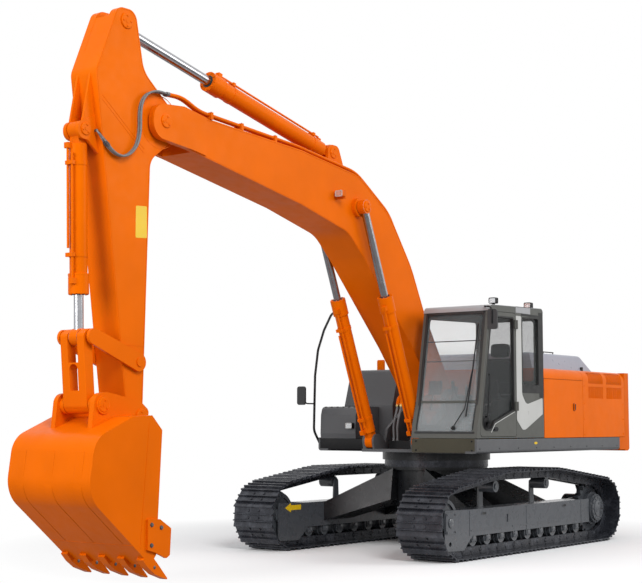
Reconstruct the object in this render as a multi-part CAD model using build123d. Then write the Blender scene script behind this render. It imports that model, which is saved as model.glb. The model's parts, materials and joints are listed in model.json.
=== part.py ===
"""Crawler excavator of the 33 tonne class: tracked undercarriage, slewing house with cab, and a digging arm.

Millimetres. +X is the digging direction, +Y the cab side, +Z up, and the tracks stand on z = 0.
Every piece is laid out from the swing axis at x = 0 and moved as a whole at the end, so that the
origin lies under the middle of the machine's bounding box.
"""
from build123d import *
import os
from math import atan2, cos, degrees, hypot, pi, radians, sin, sqrt, tan

# Fits
RUNNING_GAP = 0.3      # between faces that rest on or turn against each other
ROD_GAP = 0.1          # between a piston rod and the gland round it
SIDE_GAP = 15.0        # beside a swinging boss, each side
PANEL_GAP = 6.0        # round a door, hood or lid

# Tracks
TUMBLER_DISTANCE = 4050.0
TRACK_GAUGE = 2590.0
SHOE_WIDTH = 650.0
SHOE_COUNT = 48
PIN_HEIGHT = 95.0       # from the ground to the chain's pins
TUMBLER_RADIUS = 361.0  # pitch radius of the sprocket and the idler
SHOE_SEAT = 58.0        # from the pins out to the chain's outer edge
SHOE_PLATE = 10.0
RAIL_DEPTH = 45.0       # from the pins in to the rail's running face
RAIL_INNER = 60.0       # half the gap between the two rails of a chain
RAIL_WIDTH = 50.0
CARRIER_HEIGHT = 862.0
CARRIER_RADIUS = 80.0
CARRIER_PLACES = (790.0, -590.0)
ROLLER_COUNT = 9
ROLLER_RADIUS = 90.0
ROLLER_FLANGE = 18.0
FRAME_HALF = 140.0      # half the width of a track frame
FRAME_PLATE = 15.0
FRAME_TOP = 600.0
FRAME_BOTTOM = 342.0
FRAME_SKIRT = 272.0
TIE_DOWN = (1960.0, 200.0)   # hole in the idler guard, as x and z
TIE_DOWN_RADIUS = 27.5
SPROCKET_TEETH = 21
SPROCKET_HALF = 30.0

# Car body and swing bearing
BODY_TOP = 1080.0
BODY_RADIUS = 640.0
BEARING_RADIUS = 750.0
BEARING_BORE = 560.0
BEARING_HEIGHT = 95.0

# Deck
DECK_BOTTOM = 1290.0
DECK_PLATE = 40.0
DECK_HALF = 1474.0
SKIRT_TOP = 1474.0
SKIRT_DEPTH = 170.0
DECK_FRONT_LEFT = 1378.0
DECK_FRONT_RIGHT = 785.0
DECK_FRONT_MIDDLE = 1095.0
BEAM_TOP = 1560.0       # of the centre beams behind the boom's brackets
DECK_REAR = -2790.0
BRACKET_PLATE = 40.0

# House behind the cab
HOUSE_FRONT = -425.0
HOUSE_REAR = -2975.0
HOUSE_TOP = 2436.0
SHOULDER_BOTTOM = 2290.0
SHOULDER_INSET = 130.0
PANEL_SEAM = -1600.0
HOUSE_PANEL = 40.0
HANDLE_INSET = 283.0
HOOD_HALF = 1020.0
HOOD_FRONT = -950.0
HOOD_REAR = -2860.0
HOOD_TOP = 2692.0
HOOD_PLATE = 30.0
COUNTERWEIGHT_REAR = -3360.0
COUNTERWEIGHT_BOTTOM = 1270.0
LIFTING_X = -3140.0     # threaded holes for the lifting eyes
LIFTING_RADIUS = 18.75
LIFTING_HOLES = (("left", 620.0, 82.0), ("right", -620.0, 80.0))   # side, y and depth
HOOD_SEAT = 60.0        # how far the hood's edge lies over the roof
ENGINE_SIZE = (1150.0, 800.0, 740.0)
ENGINE_MIDDLE = -1850.0

# Cab
CAB_INNER = 487.0
CAB_OUTER = DECK_HALF
CAB_WALL = 50.0
CAB_FLOOR = 1484.0
CAB_ROOF = 3240.0
CAB_REAR = -415.0
CAB_FRONT = 1372.0
DOOR_REAR = 350.0
CAB_MOUNTS_X = (-270.0, 1120.0)
CAB_MOUNTS_Y = (610.0, 1220.0)
GLASS = 8.0
WINDOW_BAR = (1935.0, 1965.0)

# Right front: tool box and tanks
TOOLBOX_INNER = -830.0
TOOLBOX_TOP = 1905.0
LID_SPLIT = 1790.0
TOOLBOX_REAR = 215.0
BOX_WALL = 20.0
TANK_FRONT = 200.0
TANK_SPLIT = -560.0
TANK_REAR = -1130.0
TANK_INNER = -600.0
TANK_TOP = 2446.0
TANK_WALL = 20.0

# Handrail at the right front and the mirrors
RAIL_RADIUS = 17.0
RAIL_SIDE = -DECK_HALF - RAIL_RADIUS - RUNNING_GAP
MIRROR_CASE = (30.0, 140.0, 260.0)
CAB_MIRROR = (1070.0, CAB_OUTER + 71, CAB_ROOF - 230)
SIDE_MIRROR = (1120.0, -DECK_HALF - 46, 2060.0)
BRACKET_RADIUS = 10.0
LAMP = (60.0, 110.0, 80.0)

# Pivots of the digging arm, as x and z
BOOM_FOOT = (150.0, 1980.0)
BOOM_LENGTH = 6415.0
BOOM_ANGLE = 27.25             # of the line from foot to tip, above level
ARM_LENGTH = 3200.0
ARM_ANGLE = -84.0              # of the line from boom tip to bucket pin
BOOM_CYLINDER_FOOT = (1040.0, 1430.0)
BOOM_CYLINDER_EYE = (2280.0, 4420.0)
BOOM_CYLINDER_SIDE = 378.0
ARM_CYLINDER_FOOT = (2580.0, 5105.0)
BOOM_LAMP = (2736.0, 4530.0)
ELBOW = (640.0, 2010.0)        # of the pipes under the boom's foot

# Cylinders: barrel radius, rod radius, rod that shows between the gland and the eye's middle
BOOM_CYLINDER = (87.5, 50.0, 1207.0)
ARM_CYLINDER = (104.0, 57.5, 1547.0)
BUCKET_CYLINDER = (92.0, 50.0, 439.0)
# Where each piston stands from the foot pin
BOOM_PISTON = 1305.0
ARM_PISTON = 1450.0
BUCKET_PISTON = 400.0
GLAND_STEP = 15.0
GLAND_LENGTH = 210.0
BARREL_WALL = 16.0
BARREL_START = 150.0    # from the foot pin to the tube's closed end

# Pipes and hoses
PIPE_RADIUS = 19.0
PIPE_LIFT = 55.0        # from the boom's top to the pipes' middle
PIPE_SIDES = (150.0, 205.0)
HOSE_SIDES = (218.0, 258.0)
PIPE_END = (5800.0, 5228.0)
HOSE_RADIUS = 17.0

# Boom and arm sections
BOOM_HALF = 270.0
BOOM_BOSS = 322.0
BOOM_PLATE = 14.0
FORK_INNER = 215.0
FORK_OUTER = 292.0
ARM_HALF = 190.0
ARM_PLATE = 14.0
EAR_INNER = 100.0
ROCKER_INNER = ARM_HALF + 10
ROCKER_OUTER = ROCKER_INNER + 35
LINK_HALF = 172.0
LINK_DEPTH = 55.0       # half the depth of the H-link between its eyes
LINK_BOW = 40.0         # of its body, away from the arm
LINK_SLOT = 62.0
LINK_EYE = 50.0         # bore at the bucket's end of the H-link

# Bucket
BUCKET_HALF = 600.0
BUCKET_SIDE = 25.0
EAR_SIDE = ROCKER_OUTER + 5   # inner face of the ears that hold the arm and the link
TOOTH_COUNT = 5
TOOTH_WIDTH = 96.0
TOOTH_SPREAD = 2 * BUCKET_HALF - TOOTH_WIDTH   # between the outer teeth's middles
TOOTH_REACH = 289.0     # of a tooth's tip ahead of the lip
LIP_PLATE = 35.0
LIP_DEPTH = 240.0


def tip_of(start, length, angle):
    return (start[0] + length * cos(radians(angle)), start[1] + length * sin(radians(angle)))


BOOM_TIP = tip_of(BOOM_FOOT, BOOM_LENGTH, BOOM_ANGLE)
BUCKET_PIN = tip_of(BOOM_TIP, ARM_LENGTH, ARM_ANGLE)


def beyond(pivot, *corners):
    """Corners given from a pivot, as x, z and fillet, moved to the machine's x and z."""
    return [(pivot[0] + x, pivot[1] + z, *rest) for x, z, *rest in corners]


# Pivots that follow the ends of the arm. The link pin holds the rod eye, the rocker links and the H-link.
ARM_CYLINDER_EYE, BUCKET_CYLINDER_FOOT = beyond(BOOM_TIP, (517, 1003), (1006, -233))
LINK_PIN, ROCKER_PIN, BUCKET_LINK_PIN = beyond(BUCKET_PIN, (610, 811), (-38, 570), (547, 119))


# Shape helpers

def in_space(axis, level):
    """How a point of a flat outline is placed at a level along an axis."""
    if axis == "Y":
        return lambda a, b: (a, level, b)
    if axis == "X":
        return lambda a, b: (level, a, b)
    return lambda a, b: (a, b, level)


def outline(corners, place):
    """Closed face through corners (a, b, radius): each radius rounds its corner."""
    starts, middles, ends = [], [], []
    for index, (a, b, radius) in enumerate(corners):
        before = corners[index - 1]
        after = corners[(index + 1) % len(corners)]
        back = Vector(before[0] - a, before[1] - b).normalized()
        ahead = Vector(after[0] - a, after[1] - b).normalized()
        corner = Vector(a, b)
        if radius:
            half = radians(back.get_angle(ahead)) / 2
            run = radius / tan(half)
            inward = (back + ahead).normalized()
            starts.append(corner + back * run)
            middles.append(corner + inward * (radius / sin(half) - radius))
            ends.append(corner + ahead * run)
        else:
            starts.append(corner)
            middles.append(None)
            ends.append(corner)
    edges = []
    for index, middle in enumerate(middles):
        if middle is not None:
            points = (starts[index], middle, ends[index])
            edges.append(Edge.make_three_point_arc(*[place(p.X, p.Y) for p in points]))
        leave = ends[index]
        reach = starts[(index + 1) % len(corners)]
        if (reach - leave).length > 0.01:
            edges.append(Edge.make_line(place(leave.X, leave.Y), place(reach.X, reach.Y)))
    return Face(Wire(edges))


def prism(corners, low, high, axis="Y"):
    """Solid of a rounded outline between two levels along an axis."""
    along = {"X": (1, 0, 0), "Y": (0, 1, 0), "Z": (0, 0, 1)}[axis]
    return Solid.extrude(outline(corners, in_space(axis, low)), Vector(*along) * (high - low))


def block(x, y, z):
    """Box between pairs of limits along x, y and z."""
    size = [abs(high - low) for low, high in (x, y, z)]
    return Solid.make_box(*size, Plane(origin=(min(x), min(y), min(z))))


def shaft(start, end, radius):
    """Round bar between two points."""
    start, end = Vector(*start), Vector(*end)
    return Solid.make_cylinder(radius, (end - start).length, Plane(origin=start, z_dir=end - start))


def cross_pin(place, low, high, radius):
    """Round bar across the machine at (x, z), between two levels of y."""
    return shaft((place[0], low, place[1]), (place[0], high, place[1]), radius)


def tube(points, radius, bend):
    """Round tube through points in space, its corners rounded as far as the runs allow."""
    points = [Vector(*p) for p in points]
    edges, leave = [], points[0]
    for index in range(1, len(points) - 1):
        corner = points[index]
        back, ahead = points[index - 1] - corner, points[index + 1] - corner
        half = radians(back.get_angle(ahead)) / 2
        run = min(bend / tan(half), 0.45 * min(back.length, ahead.length))
        inward = (back.normalized() + ahead.normalized()).normalized()
        middle = corner + inward * (run / cos(half) - run * tan(half))
        start, end = corner + back.normalized() * run, corner + ahead.normalized() * run
        edges.append(Edge.make_line(leave, start))
        edges.append(Edge.make_three_point_arc(start, middle, end))
        leave = end
    edges.append(Edge.make_line(leave, points[-1]))
    section = Edge.make_circle(radius, Plane(origin=points[0], z_dir=points[1] - points[0]))
    return Solid.sweep(Wire([section]), Wire(edges))


def along(start, end, share):
    return (start[0] + (end[0] - start[0]) * share, start[1] + (end[1] - start[1]) * share)


def in_plane(points, y):
    """Points (x, z) of a side view, set at one y."""
    return [(x, y, z) for x, z in points]


def mirrored(piece):
    """The same piece on the other side of the machine."""
    return mirror(piece, about=Plane.XZ)


def both_sides(piece):
    return [piece, mirrored(piece)]


def cylinder_piece(shape, foot, eye, side):
    """A piece drawn along +X from the foot pin, turned and moved onto a cylinder's line."""
    angle = degrees(atan2(eye[1] - foot[1], eye[0] - foot[0]))
    turned = shape.rotate(Axis.Y, -angle)
    return turned.moved(Location((foot[0], side, foot[1])))


# Tracks

def belt(wheels, count):
    """Evenly spaced points of a belt round wheels (x, z, radius), listed anticlockwise from the side."""
    runs = []
    for index, (x, z, radius) in enumerate(wheels):
        x2, z2, radius2 = wheels[(index + 1) % len(wheels)]
        apart = hypot(x2 - x, z2 - z)
        forward = ((x2 - x) / apart, (z2 - z) / apart)
        lean = (radius - radius2) / apart
        normal = (forward[0] * lean + forward[1] * sqrt(1 - lean ** 2),
                  forward[1] * lean - forward[0] * sqrt(1 - lean ** 2))
        runs.append((normal, apart * sqrt(1 - lean ** 2)))
    pieces = []
    for index, (x, z, radius) in enumerate(wheels):
        normal_in = runs[index - 1][0]
        normal_out, length = runs[index]
        first = atan2(normal_in[1], normal_in[0])
        turn = (atan2(normal_out[1], normal_out[0]) - first) % (2 * pi)
        pieces.append((turn * radius, "arc", (x, z, radius, first)))
        start = (x + normal_out[0] * radius, z + normal_out[1] * radius)
        pieces.append((length, "run", (start, (-normal_out[1], normal_out[0]))))
    total = sum(piece[0] for piece in pieces)
    points = []
    for step in range(count):
        left = total * step / count
        for length, kind, data in pieces:
            if left <= length:
                break
            left -= length
        if kind == "arc":
            x, z, radius, first = data
            angle = first + left / radius
            points.append((x + radius * cos(angle), z + radius * sin(angle)))
        else:
            start, way = data
            points.append((start[0] + way[0] * left, start[1] + way[1] * left))
    return points


def track_pins():
    tumbler_height = PIN_HEIGHT + TUMBLER_RADIUS
    over_carrier = CARRIER_RADIUS + RAIL_DEPTH
    wheels = [(-TUMBLER_DISTANCE / 2, tumbler_height, TUMBLER_RADIUS),
              (TUMBLER_DISTANCE / 2, tumbler_height, TUMBLER_RADIUS)]
    wheels += [(x, CARRIER_HEIGHT, over_carrier) for x in CARRIER_PLACES]
    return belt(wheels, SHOE_COUNT)


def offset_loop(points, distance):
    """The loop through the points, moved outwards by a distance."""
    moved = []
    for index, (x, z) in enumerate(points):
        before, after = points[index - 1], points[(index + 1) % len(points)]
        first = atan2(z - before[1], x - before[0])
        second = atan2(after[1] - z, after[0] - x)
        half = ((second - first + pi) % (2 * pi) - pi) / 2
        normal = first + half - pi / 2
        reach = distance / cos(half)
        moved.append((x + reach * cos(normal), z + reach * sin(normal)))
    return moved


def inner_reach(centre):
    """Largest radius round a tumbler's centre that stays inside the chain's rails."""
    edge = offset_loop(track_pins(), -RAIL_DEPTH)
    reach = []
    for index, (x, z) in enumerate(edge):
        x2, z2 = edge[index - 1]
        reach.append(abs((x2 - x) * (centre[1] - z) - (z2 - z) * (centre[0] - x)) / hypot(x2 - x, z2 - z))
    return min(reach)


def shoe_outline(points):
    """Outer edge of the shoes: each has three bars across it."""
    plate = SHOE_SEAT + SHOE_PLATE
    tread = PIN_HEIGHT
    # Share of the pitch, height above the pins
    profile = [(0.03, plate - 4), (0.04, tread), (0.10, tread), (0.13, plate),
               (0.43, plate), (0.455, tread), (0.515, tread), (0.54, plate),
               (0.88, plate), (0.90, tread), (0.97, tread)]
    edge = []
    for index, (x, z) in enumerate(points):
        x2, z2 = points[(index + 1) % len(points)]
        pitch = hypot(x2 - x, z2 - z)
        way = ((x2 - x) / pitch, (z2 - z) / pitch)
        for share, height in profile:
            along = share * pitch
            edge.append((x + way[0] * along + way[1] * height, z + way[1] * along - way[0] * height))
    return edge


def loop_band(outer, inner, low, high):
    place = in_space("Y", low)
    outer_wire = Wire.make_polygon([place(*p) for p in outer], close=True)
    inner_wire = Wire.make_polygon([place(*p) for p in inner], close=True)
    return Solid.extrude(Face(outer_wire, [inner_wire]), Vector(0, high - low, 0))


def track():
    """One closed loop: two chain rails and the shoes on them."""
    middle = TRACK_GAUGE / 2
    pins = track_pins()
    seat = offset_loop(pins, SHOE_SEAT)
    running = offset_loop(pins, -RAIL_DEPTH)
    shoes = loop_band(shoe_outline(pins), seat, middle - SHOE_WIDTH / 2, middle + SHOE_WIDTH / 2)
    rails = []
    for side in (-1, 1):
        near = middle + side * RAIL_INNER
        far = middle + side * (RAIL_INNER + RAIL_WIDTH)
        rails.append(loop_band(seat, running, min(near, far), max(near, far)))
    return shoes.fuse(*rails)


def track_frame():
    """Box beam of one track with its skirts, guards and the yoke round the idler."""
    middle = TRACK_GAUGE / 2
    low, high = middle - FRAME_HALF, middle + FRAME_HALF
    front, rear = 1500.0, -1812.0
    beam = block((rear + 172, front), (low, high), (FRAME_BOTTOM, FRAME_TOP))
    frame = beam
    tip = TUMBLER_DISTANCE / 2 + 60
    guard = [(front - 60, FRAME_TOP, 0), (tip, FRAME_TOP + 15, 25), (tip, 120, 50), (1640, 105, 60),
             (front - 60, FRAME_SKIRT, 0)]
    for y in (low, high - FRAME_PLATE):
        frame = frame.fuse(block((rear, front), (y, y + FRAME_PLATE), (FRAME_SKIRT, FRAME_TOP)))
        frame = frame.fuse(prism(guard, y, y + FRAME_PLATE))
    motor = (-TUMBLER_DISTANCE / 2, PIN_HEIGHT + TUMBLER_RADIUS)
    bracket = [(rear + 120, FRAME_TOP, 0), (motor[0] - 215, motor[1] + 190, 170),
               (motor[0] - 215, motor[1] - 215, 190), (rear + 120, FRAME_SKIRT, 0)]
    frame = frame.fuse(prism(bracket, low, low + FRAME_PLATE))
    frame = frame - cross_pin(motor, low - 50, low + 50, 201)
    for x in CARRIER_PLACES:
        post = [(x - 60, FRAME_TOP - 1, 0), (x + 60, FRAME_TOP - 1, 0), (x + 45, CARRIER_HEIGHT + 40, 30),
                (x - 45, CARRIER_HEIGHT + 40, 30)]
        frame = frame.fuse(prism(post, low, low + 22))
    frame = frame - cross_pin(TIE_DOWN, high - FRAME_PLATE - 1, high + 1, TIE_DOWN_RADIUS)
    return frame - block((530, 590), (high - 12, high + 1), (400, 500))


def track_rollers():
    """Lower rollers on their collars, and the carrier rollers on their posts."""
    middle = TRACK_GAUGE / 2
    edge = RAIL_INNER + RAIL_WIDTH
    height = PIN_HEIGHT + RAIL_DEPTH + ROLLER_RADIUS + RUNNING_GAP
    inside = FRAME_HALF - FRAME_PLATE - RUNNING_GAP
    rollers = []
    for index in range(ROLLER_COUNT):
        x = -1450.0 + index * 2830.0 / (ROLLER_COUNT - 1)
        place = (x, height)
        roller = cross_pin(place, middle - edge, middle + edge, ROLLER_RADIUS)
        roller = roller.fuse(cross_pin(place, middle - RAIL_INNER + 4, middle + RAIL_INNER - 4,
                                       ROLLER_RADIUS + ROLLER_FLANGE))
        for side in (-1, 1):
            ends = sorted((middle + side * edge, middle + side * inside))
            collar = block((x - 55, x + 55), ends, (height - 45, FRAME_BOTTOM - RUNNING_GAP))
            roller = roller.fuse(collar)
        rollers.append(roller)
    for x in CARRIER_PLACES:
        place = (x, CARRIER_HEIGHT)
        roller = cross_pin(place, middle - edge, middle + edge, CARRIER_RADIUS - 6)
        rollers.append(roller.fuse(cross_pin(place, middle - FRAME_HALF + 22, middle + edge + 12, 38)))
    return rollers


def idler():
    middle = TRACK_GAUGE / 2
    place = (TUMBLER_DISTANCE / 2, PIN_HEIGHT + TUMBLER_RADIUS)
    edge = RAIL_INNER + RAIL_WIDTH
    radius = inner_reach(place) - RUNNING_GAP
    wheel = cross_pin(place, middle - edge + 6, middle + edge - 6, radius)
    wheel = wheel.fuse(cross_pin(place, middle - RAIL_INNER + 6, middle + RAIL_INNER - 6, radius + 24))
    for side in (-1, 1):
        wheel = wheel - cross_pin(place, middle + side * (edge - 30), middle + side * (edge + 5), radius - 45)
    hub = cross_pin(place, middle - FRAME_HALF + FRAME_PLATE, middle + FRAME_HALF - FRAME_PLATE, 95)
    return wheel.fuse(hub)


def travel_drive():
    """Sprocket with its gearbox outside and its motor inside."""
    middle = TRACK_GAUGE / 2
    place = (-TUMBLER_DISTANCE / 2, PIN_HEIGHT + TUMBLER_RADIUS)
    teeth = []
    step = 2 * pi / SPROCKET_TEETH
    # Share of a tooth's step, radius
    for tooth in range(SPROCKET_TEETH):
        for share, radius in ((0.0, 318), (0.28, 318), (0.5, TUMBLER_RADIUS + 6), (0.78, TUMBLER_RADIUS + 6)):
            angle = (tooth + share) * step
            teeth.append((place[0] + radius * cos(angle), place[1] + radius * sin(angle), 0))
    drive = prism(teeth, middle - SPROCKET_HALF, middle + SPROCKET_HALF)
    drive = drive.fuse(cross_pin(place, middle - FRAME_HALF + FRAME_PLATE, middle + 95, 235))
    drive = drive.fuse(cross_pin(place, middle + 90, middle + 150, 205))
    drive = drive.fuse(cross_pin(place, middle + 145, middle + 178, 175))
    drive = drive.fuse(cross_pin(place, middle - 330, middle - FRAME_HALF + FRAME_PLATE + 1, 198))
    return drive


def leg(end):
    """One of the four arms from the middle of the car body to a track frame."""
    near = [(60, 640), (760, 640), (700, BODY_TOP - 20), (60, BODY_TOP - 20)]
    far = [(420, 340), (1080, 340), (1080, FRAME_TOP - 10), (420, FRAME_TOP - 10)]
    faces = []
    for y, corners in ((260, near), (TRACK_GAUGE / 2 - FRAME_HALF, far)):
        points = [(end * x, y, z) for x, z in corners]
        faces.append(Wire.make_polygon(points, close=True))
    return Solid.make_loft(faces, ruled=True)


def car_body():
    body = Solid.make_cylinder(BODY_RADIUS, BODY_TOP - 560, Plane(origin=(0, 0, 560)))
    body = body.fuse(Solid.make_cylinder(BEARING_RADIUS - 40, 40, Plane(origin=(0, 0, BODY_TOP - 40))))
    for end in (-1, 1):
        for piece in both_sides(leg(end)):
            body = body.fuse(piece)
    return body - Solid.make_cylinder(260, 1200, Plane(origin=(0, 0, 0)))


def flat_ring(radius, bore, low, high):
    outer = Solid.make_cylinder(radius, high - low, Plane(origin=(0, 0, low)))
    return outer - Solid.make_cylinder(bore, high - low + 2, Plane(origin=(0, 0, low - 1)))


def undercarriage():
    drive, wheel, frame, loop = travel_drive(), idler(), track_frame(), track()
    rollers = track_rollers()
    joint = BODY_TOP + BEARING_HEIGHT
    return {
        "car_body": [car_body()],
        "swing_bearing_ring": [flat_ring(BEARING_RADIUS - 30, BEARING_BORE, BODY_TOP, joint)],
        "track_frame_left": [frame], "track_frame_right": [mirrored(frame)],
        "track_left": [loop], "track_right": [mirrored(loop)],
        "track_rollers_left": rollers, "track_rollers_right": [mirrored(r) for r in rollers],
        "idlers": both_sides(wheel),
        "travel_drives": both_sides(drive),
    }


# Deck, house and counterweight

def main_frame():
    """Deck plate, centre beams with the boom's brackets, and the edges under the skirts."""
    inner = BOOM_HALF + SIDE_GAP + 10
    side = DECK_HALF - SKIRT_DEPTH
    plan = [(DECK_REAR, -side, 0), (DECK_FRONT_RIGHT - 30, -side, 0), (DECK_FRONT_RIGHT - 30, -500, 0),
            (DECK_FRONT_MIDDLE, -500, 0), (DECK_FRONT_MIDDLE, CAB_INNER - 7, 0),
            (DECK_FRONT_LEFT - 30, CAB_INNER - 7, 0), (DECK_FRONT_LEFT - 30, side, 0), (DECK_REAR, side, 0)]
    frame = prism(plan, DECK_BOTTOM, DECK_BOTTOM + DECK_PLATE, "Z")
    foot = BOOM_FOOT
    beam = [(-2600, DECK_BOTTOM + 20, 0), (DECK_FRONT_MIDDLE - 250, DECK_BOTTOM + 20, 0),
            (DECK_FRONT_MIDDLE - 330, 1600, 60), (foot[0] + 190, foot[1] - 90, 60),
            (foot[0] + 150, foot[1] + 165, 150), (foot[0] - 160, foot[1] + 165, 150),
            (foot[0] - 420, BEAM_TOP, 200), (-2600, BEAM_TOP, 0)]
    lug = [(BOOM_CYLINDER_FOOT[0] - 330, DECK_BOTTOM + 20, 0), (BOOM_CYLINDER_FOOT[0] + 50, DECK_BOTTOM + 20, 0),
           (BOOM_CYLINDER_FOOT[0] + 95, BOOM_CYLINDER_FOOT[1] + 100, 90),
           (BOOM_CYLINDER_FOOT[0] - 100, BOOM_CYLINDER_FOOT[1] + 100, 90)]
    eye_inner = BOOM_CYLINDER_SIDE - 56
    eye_outer = BOOM_CYLINDER_SIDE + 56
    for piece in both_sides(prism(beam, inner, inner + BRACKET_PLATE)):
        frame = frame.fuse(piece)
    for low, high in ((inner, eye_inner), (eye_outer, CAB_INNER - 7)):
        for piece in both_sides(prism(lug, low, high)):
            frame = frame.fuse(piece)
    for piece in both_sides(cross_pin(BOOM_CYLINDER_FOOT, eye_inner - 1, eye_outer + 1, 45)):
        frame = frame.fuse(piece)
    for y in (inner, -inner):
        boss = cross_pin(foot, min(y, y * 1.2), max(y, y * 1.2), 150)
        frame = frame.fuse(boss)
    frame = frame.fuse(cross_pin(foot, -inner - 60, inner + 60, 55))
    return frame


def side_skirt(front, side):
    """Dark edge beam along one side of the deck, with a rounded lower edge."""
    section = [(DECK_HALF - SKIRT_DEPTH, DECK_BOTTOM, 0), (DECK_HALF, DECK_BOTTOM, 40),
               (DECK_HALF, SKIRT_TOP - 60, 0), (DECK_HALF, SKIRT_TOP, 12), (DECK_HALF - 30, SKIRT_TOP, 0),
               (DECK_HALF - 30, DECK_BOTTOM + 30, 0), (DECK_HALF - SKIRT_DEPTH, DECK_BOTTOM + 30, 0)]
    beam = prism(section, DECK_REAR, front, "X")
    return beam if side > 0 else mirrored(beam)


def house_section(depth):
    """Half section of the house wall and shoulder, as y and z."""
    wall, top = DECK_HALF - depth, HOUSE_TOP - depth
    return [(wall, SKIRT_TOP + PANEL_GAP, 0), (wall, SHOULDER_BOTTOM, 0), (wall, top, SHOULDER_INSET - depth / 2)]


def rear_panel():
    """Fixed panel behind the door, with louvred openings in its side and on its shoulder."""
    edge = HOOD_HALF - HOOD_SEAT
    outer = house_section(0) + [(edge, HOUSE_TOP, 0)]
    inner = [(edge, HOUSE_TOP - HOUSE_PANEL, 0)] + house_section(HOUSE_PANEL)[::-1]
    panel = prism(outer + inner, HOUSE_REAR, PANEL_SEAM - 3, "X")
    for x in ((-2250, -1770), (-2880, -2360)):
        panel = panel - block(x, (DECK_HALF - 60, DECK_HALF + 10), (2040, 2205))
        panel = panel - block(x, (DECK_HALF - 170, DECK_HALF + 10), (2250, 2410))
    slats = []
    for x in ((-2250, -1770), (-2880, -2360)):
        count = 12
        for index in range(count):
            at = x[0] + (index + 0.5) * (x[1] - x[0]) / count
            panel = panel.fuse(block((at - 8, at + 8), (DECK_HALF - 34, DECK_HALF - 8), (2039, 2206)))
            rib = house_section(8)[1:] + [(HOOD_HALF + 280, HOUSE_TOP - 8, 0), (HOOD_HALF + 280, HOUSE_TOP - 34, 0)]
            rib += house_section(34)[:0:-1]
            shoulder = prism(rib, at - 8, at + 8, "X")
            shoulder = shoulder & block((at - 8, at + 8), (DECK_HALF - 175, DECK_HALF + 1), (2249, 2411))
            panel = panel.fuse(shoulder)
    return panel


def shoulder(front):
    """Roof edge and rounded shoulder above a side door, up to its front end."""
    edge = HOOD_HALF - HOOD_SEAT
    low = SHOULDER_BOTTOM
    outer = [(DECK_HALF, low, 0), (DECK_HALF, HOUSE_TOP, SHOULDER_INSET), (edge, HOUSE_TOP, 0)]
    inner = [(edge, HOUSE_TOP - HOUSE_PANEL, 0),
             (DECK_HALF - HOUSE_PANEL, HOUSE_TOP - HOUSE_PANEL, SHOULDER_INSET - HOUSE_PANEL / 2),
             (DECK_HALF - HOUSE_PANEL, low, 0)]
    return prism(outer + inner, PANEL_SEAM + 3, front, "X")


def house_roof():
    """Roof ahead of the louvred panels, with the bulkhead behind the cab and the strip behind the hood."""
    edge = HOOD_HALF - HOOD_SEAT
    z = (HOUSE_TOP - HOUSE_PANEL, HOUSE_TOP)
    hood_edge = HOOD_FRONT - HOOD_SEAT
    roof = shoulder(HOUSE_FRONT).fuse(mirrored(shoulder(TANK_REAR - 4)))
    roof = roof.fuse(block((hood_edge, HOUSE_FRONT), (TANK_INNER + 4, edge + 1), z))
    wall = (HOUSE_FRONT - 25, HOUSE_FRONT)
    roof = roof.fuse(block(wall, (TANK_INNER + 4, CAB_INNER + 1), (BEAM_TOP, HOUSE_TOP - 1)))
    door_seat = DECK_HALF - HOUSE_PANEL - RUNNING_GAP
    roof = roof.fuse(block(wall, (CAB_INNER, DECK_HALF - SKIRT_DEPTH), (DECK_BOTTOM + DECK_PLATE, HOUSE_TOP - 1)))
    roof = roof.fuse(block(wall, (CAB_INNER, door_seat), (SKIRT_TOP + PANEL_GAP, SHOULDER_BOTTOM + 1)))
    jamb = (TANK_REAR - 4 - 25, TANK_REAR - 4)
    roof = roof.fuse(block(jamb, (-DECK_HALF + SKIRT_DEPTH, -edge), (DECK_BOTTOM + DECK_PLATE, HOUSE_TOP - 1)))
    roof = roof.fuse(block(jamb, (-door_seat, -edge), (SKIRT_TOP + PANEL_GAP, SHOULDER_BOTTOM + 1)))
    strip = block((HOUSE_REAR, HOOD_REAR + HOOD_SEAT), (-edge, edge), z)
    return [roof, strip]


def side_door(front):
    """Service door ahead of the louvred panel, up to its front end, with its handle."""
    z = (SKIRT_TOP + PANEL_GAP, SHOULDER_BOTTOM - PANEL_GAP)
    x = (PANEL_SEAM + PANEL_GAP, front - PANEL_GAP)
    door = block(x, (DECK_HALF - HOUSE_PANEL, DECK_HALF), z)
    handle_x = PANEL_SEAM + HANDLE_INSET
    grip = block((handle_x - 14, handle_x + 14), (DECK_HALF - 1, DECK_HALF + 22), (1860, 1950))
    return door.fuse(grip)


def engine_hood():
    """Grey lid over the engine: sloped at its ends, open below."""
    def lid(depth):
        top, half = HOOD_TOP - depth, HOOD_HALF - depth
        seat = HOUSE_TOP + RUNNING_GAP - (1 if depth else 0)
        side = [(HOOD_REAR + depth, seat, 0), (HOOD_REAR + 300 + depth, top, 40),
                (HOOD_FRONT - 60 - depth, top, 60), (HOOD_FRONT - depth, seat, 0)]
        across = [(-half, seat, 0), (-half + 90, top, 50), (half - 90, top, 50), (half, seat, 0)]
        return prism(side, -half, half) & prism(across, HOOD_REAR + depth, HOOD_FRONT - depth, "X")
    return lid(0) - lid(HOOD_PLATE)


def engine_block():
    length, width, height = ENGINE_SIZE
    return block((ENGINE_MIDDLE - length / 2, ENGINE_MIDDLE + length / 2), (-width / 2, width / 2),
                 (BEAM_TOP, BEAM_TOP + height))


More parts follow.
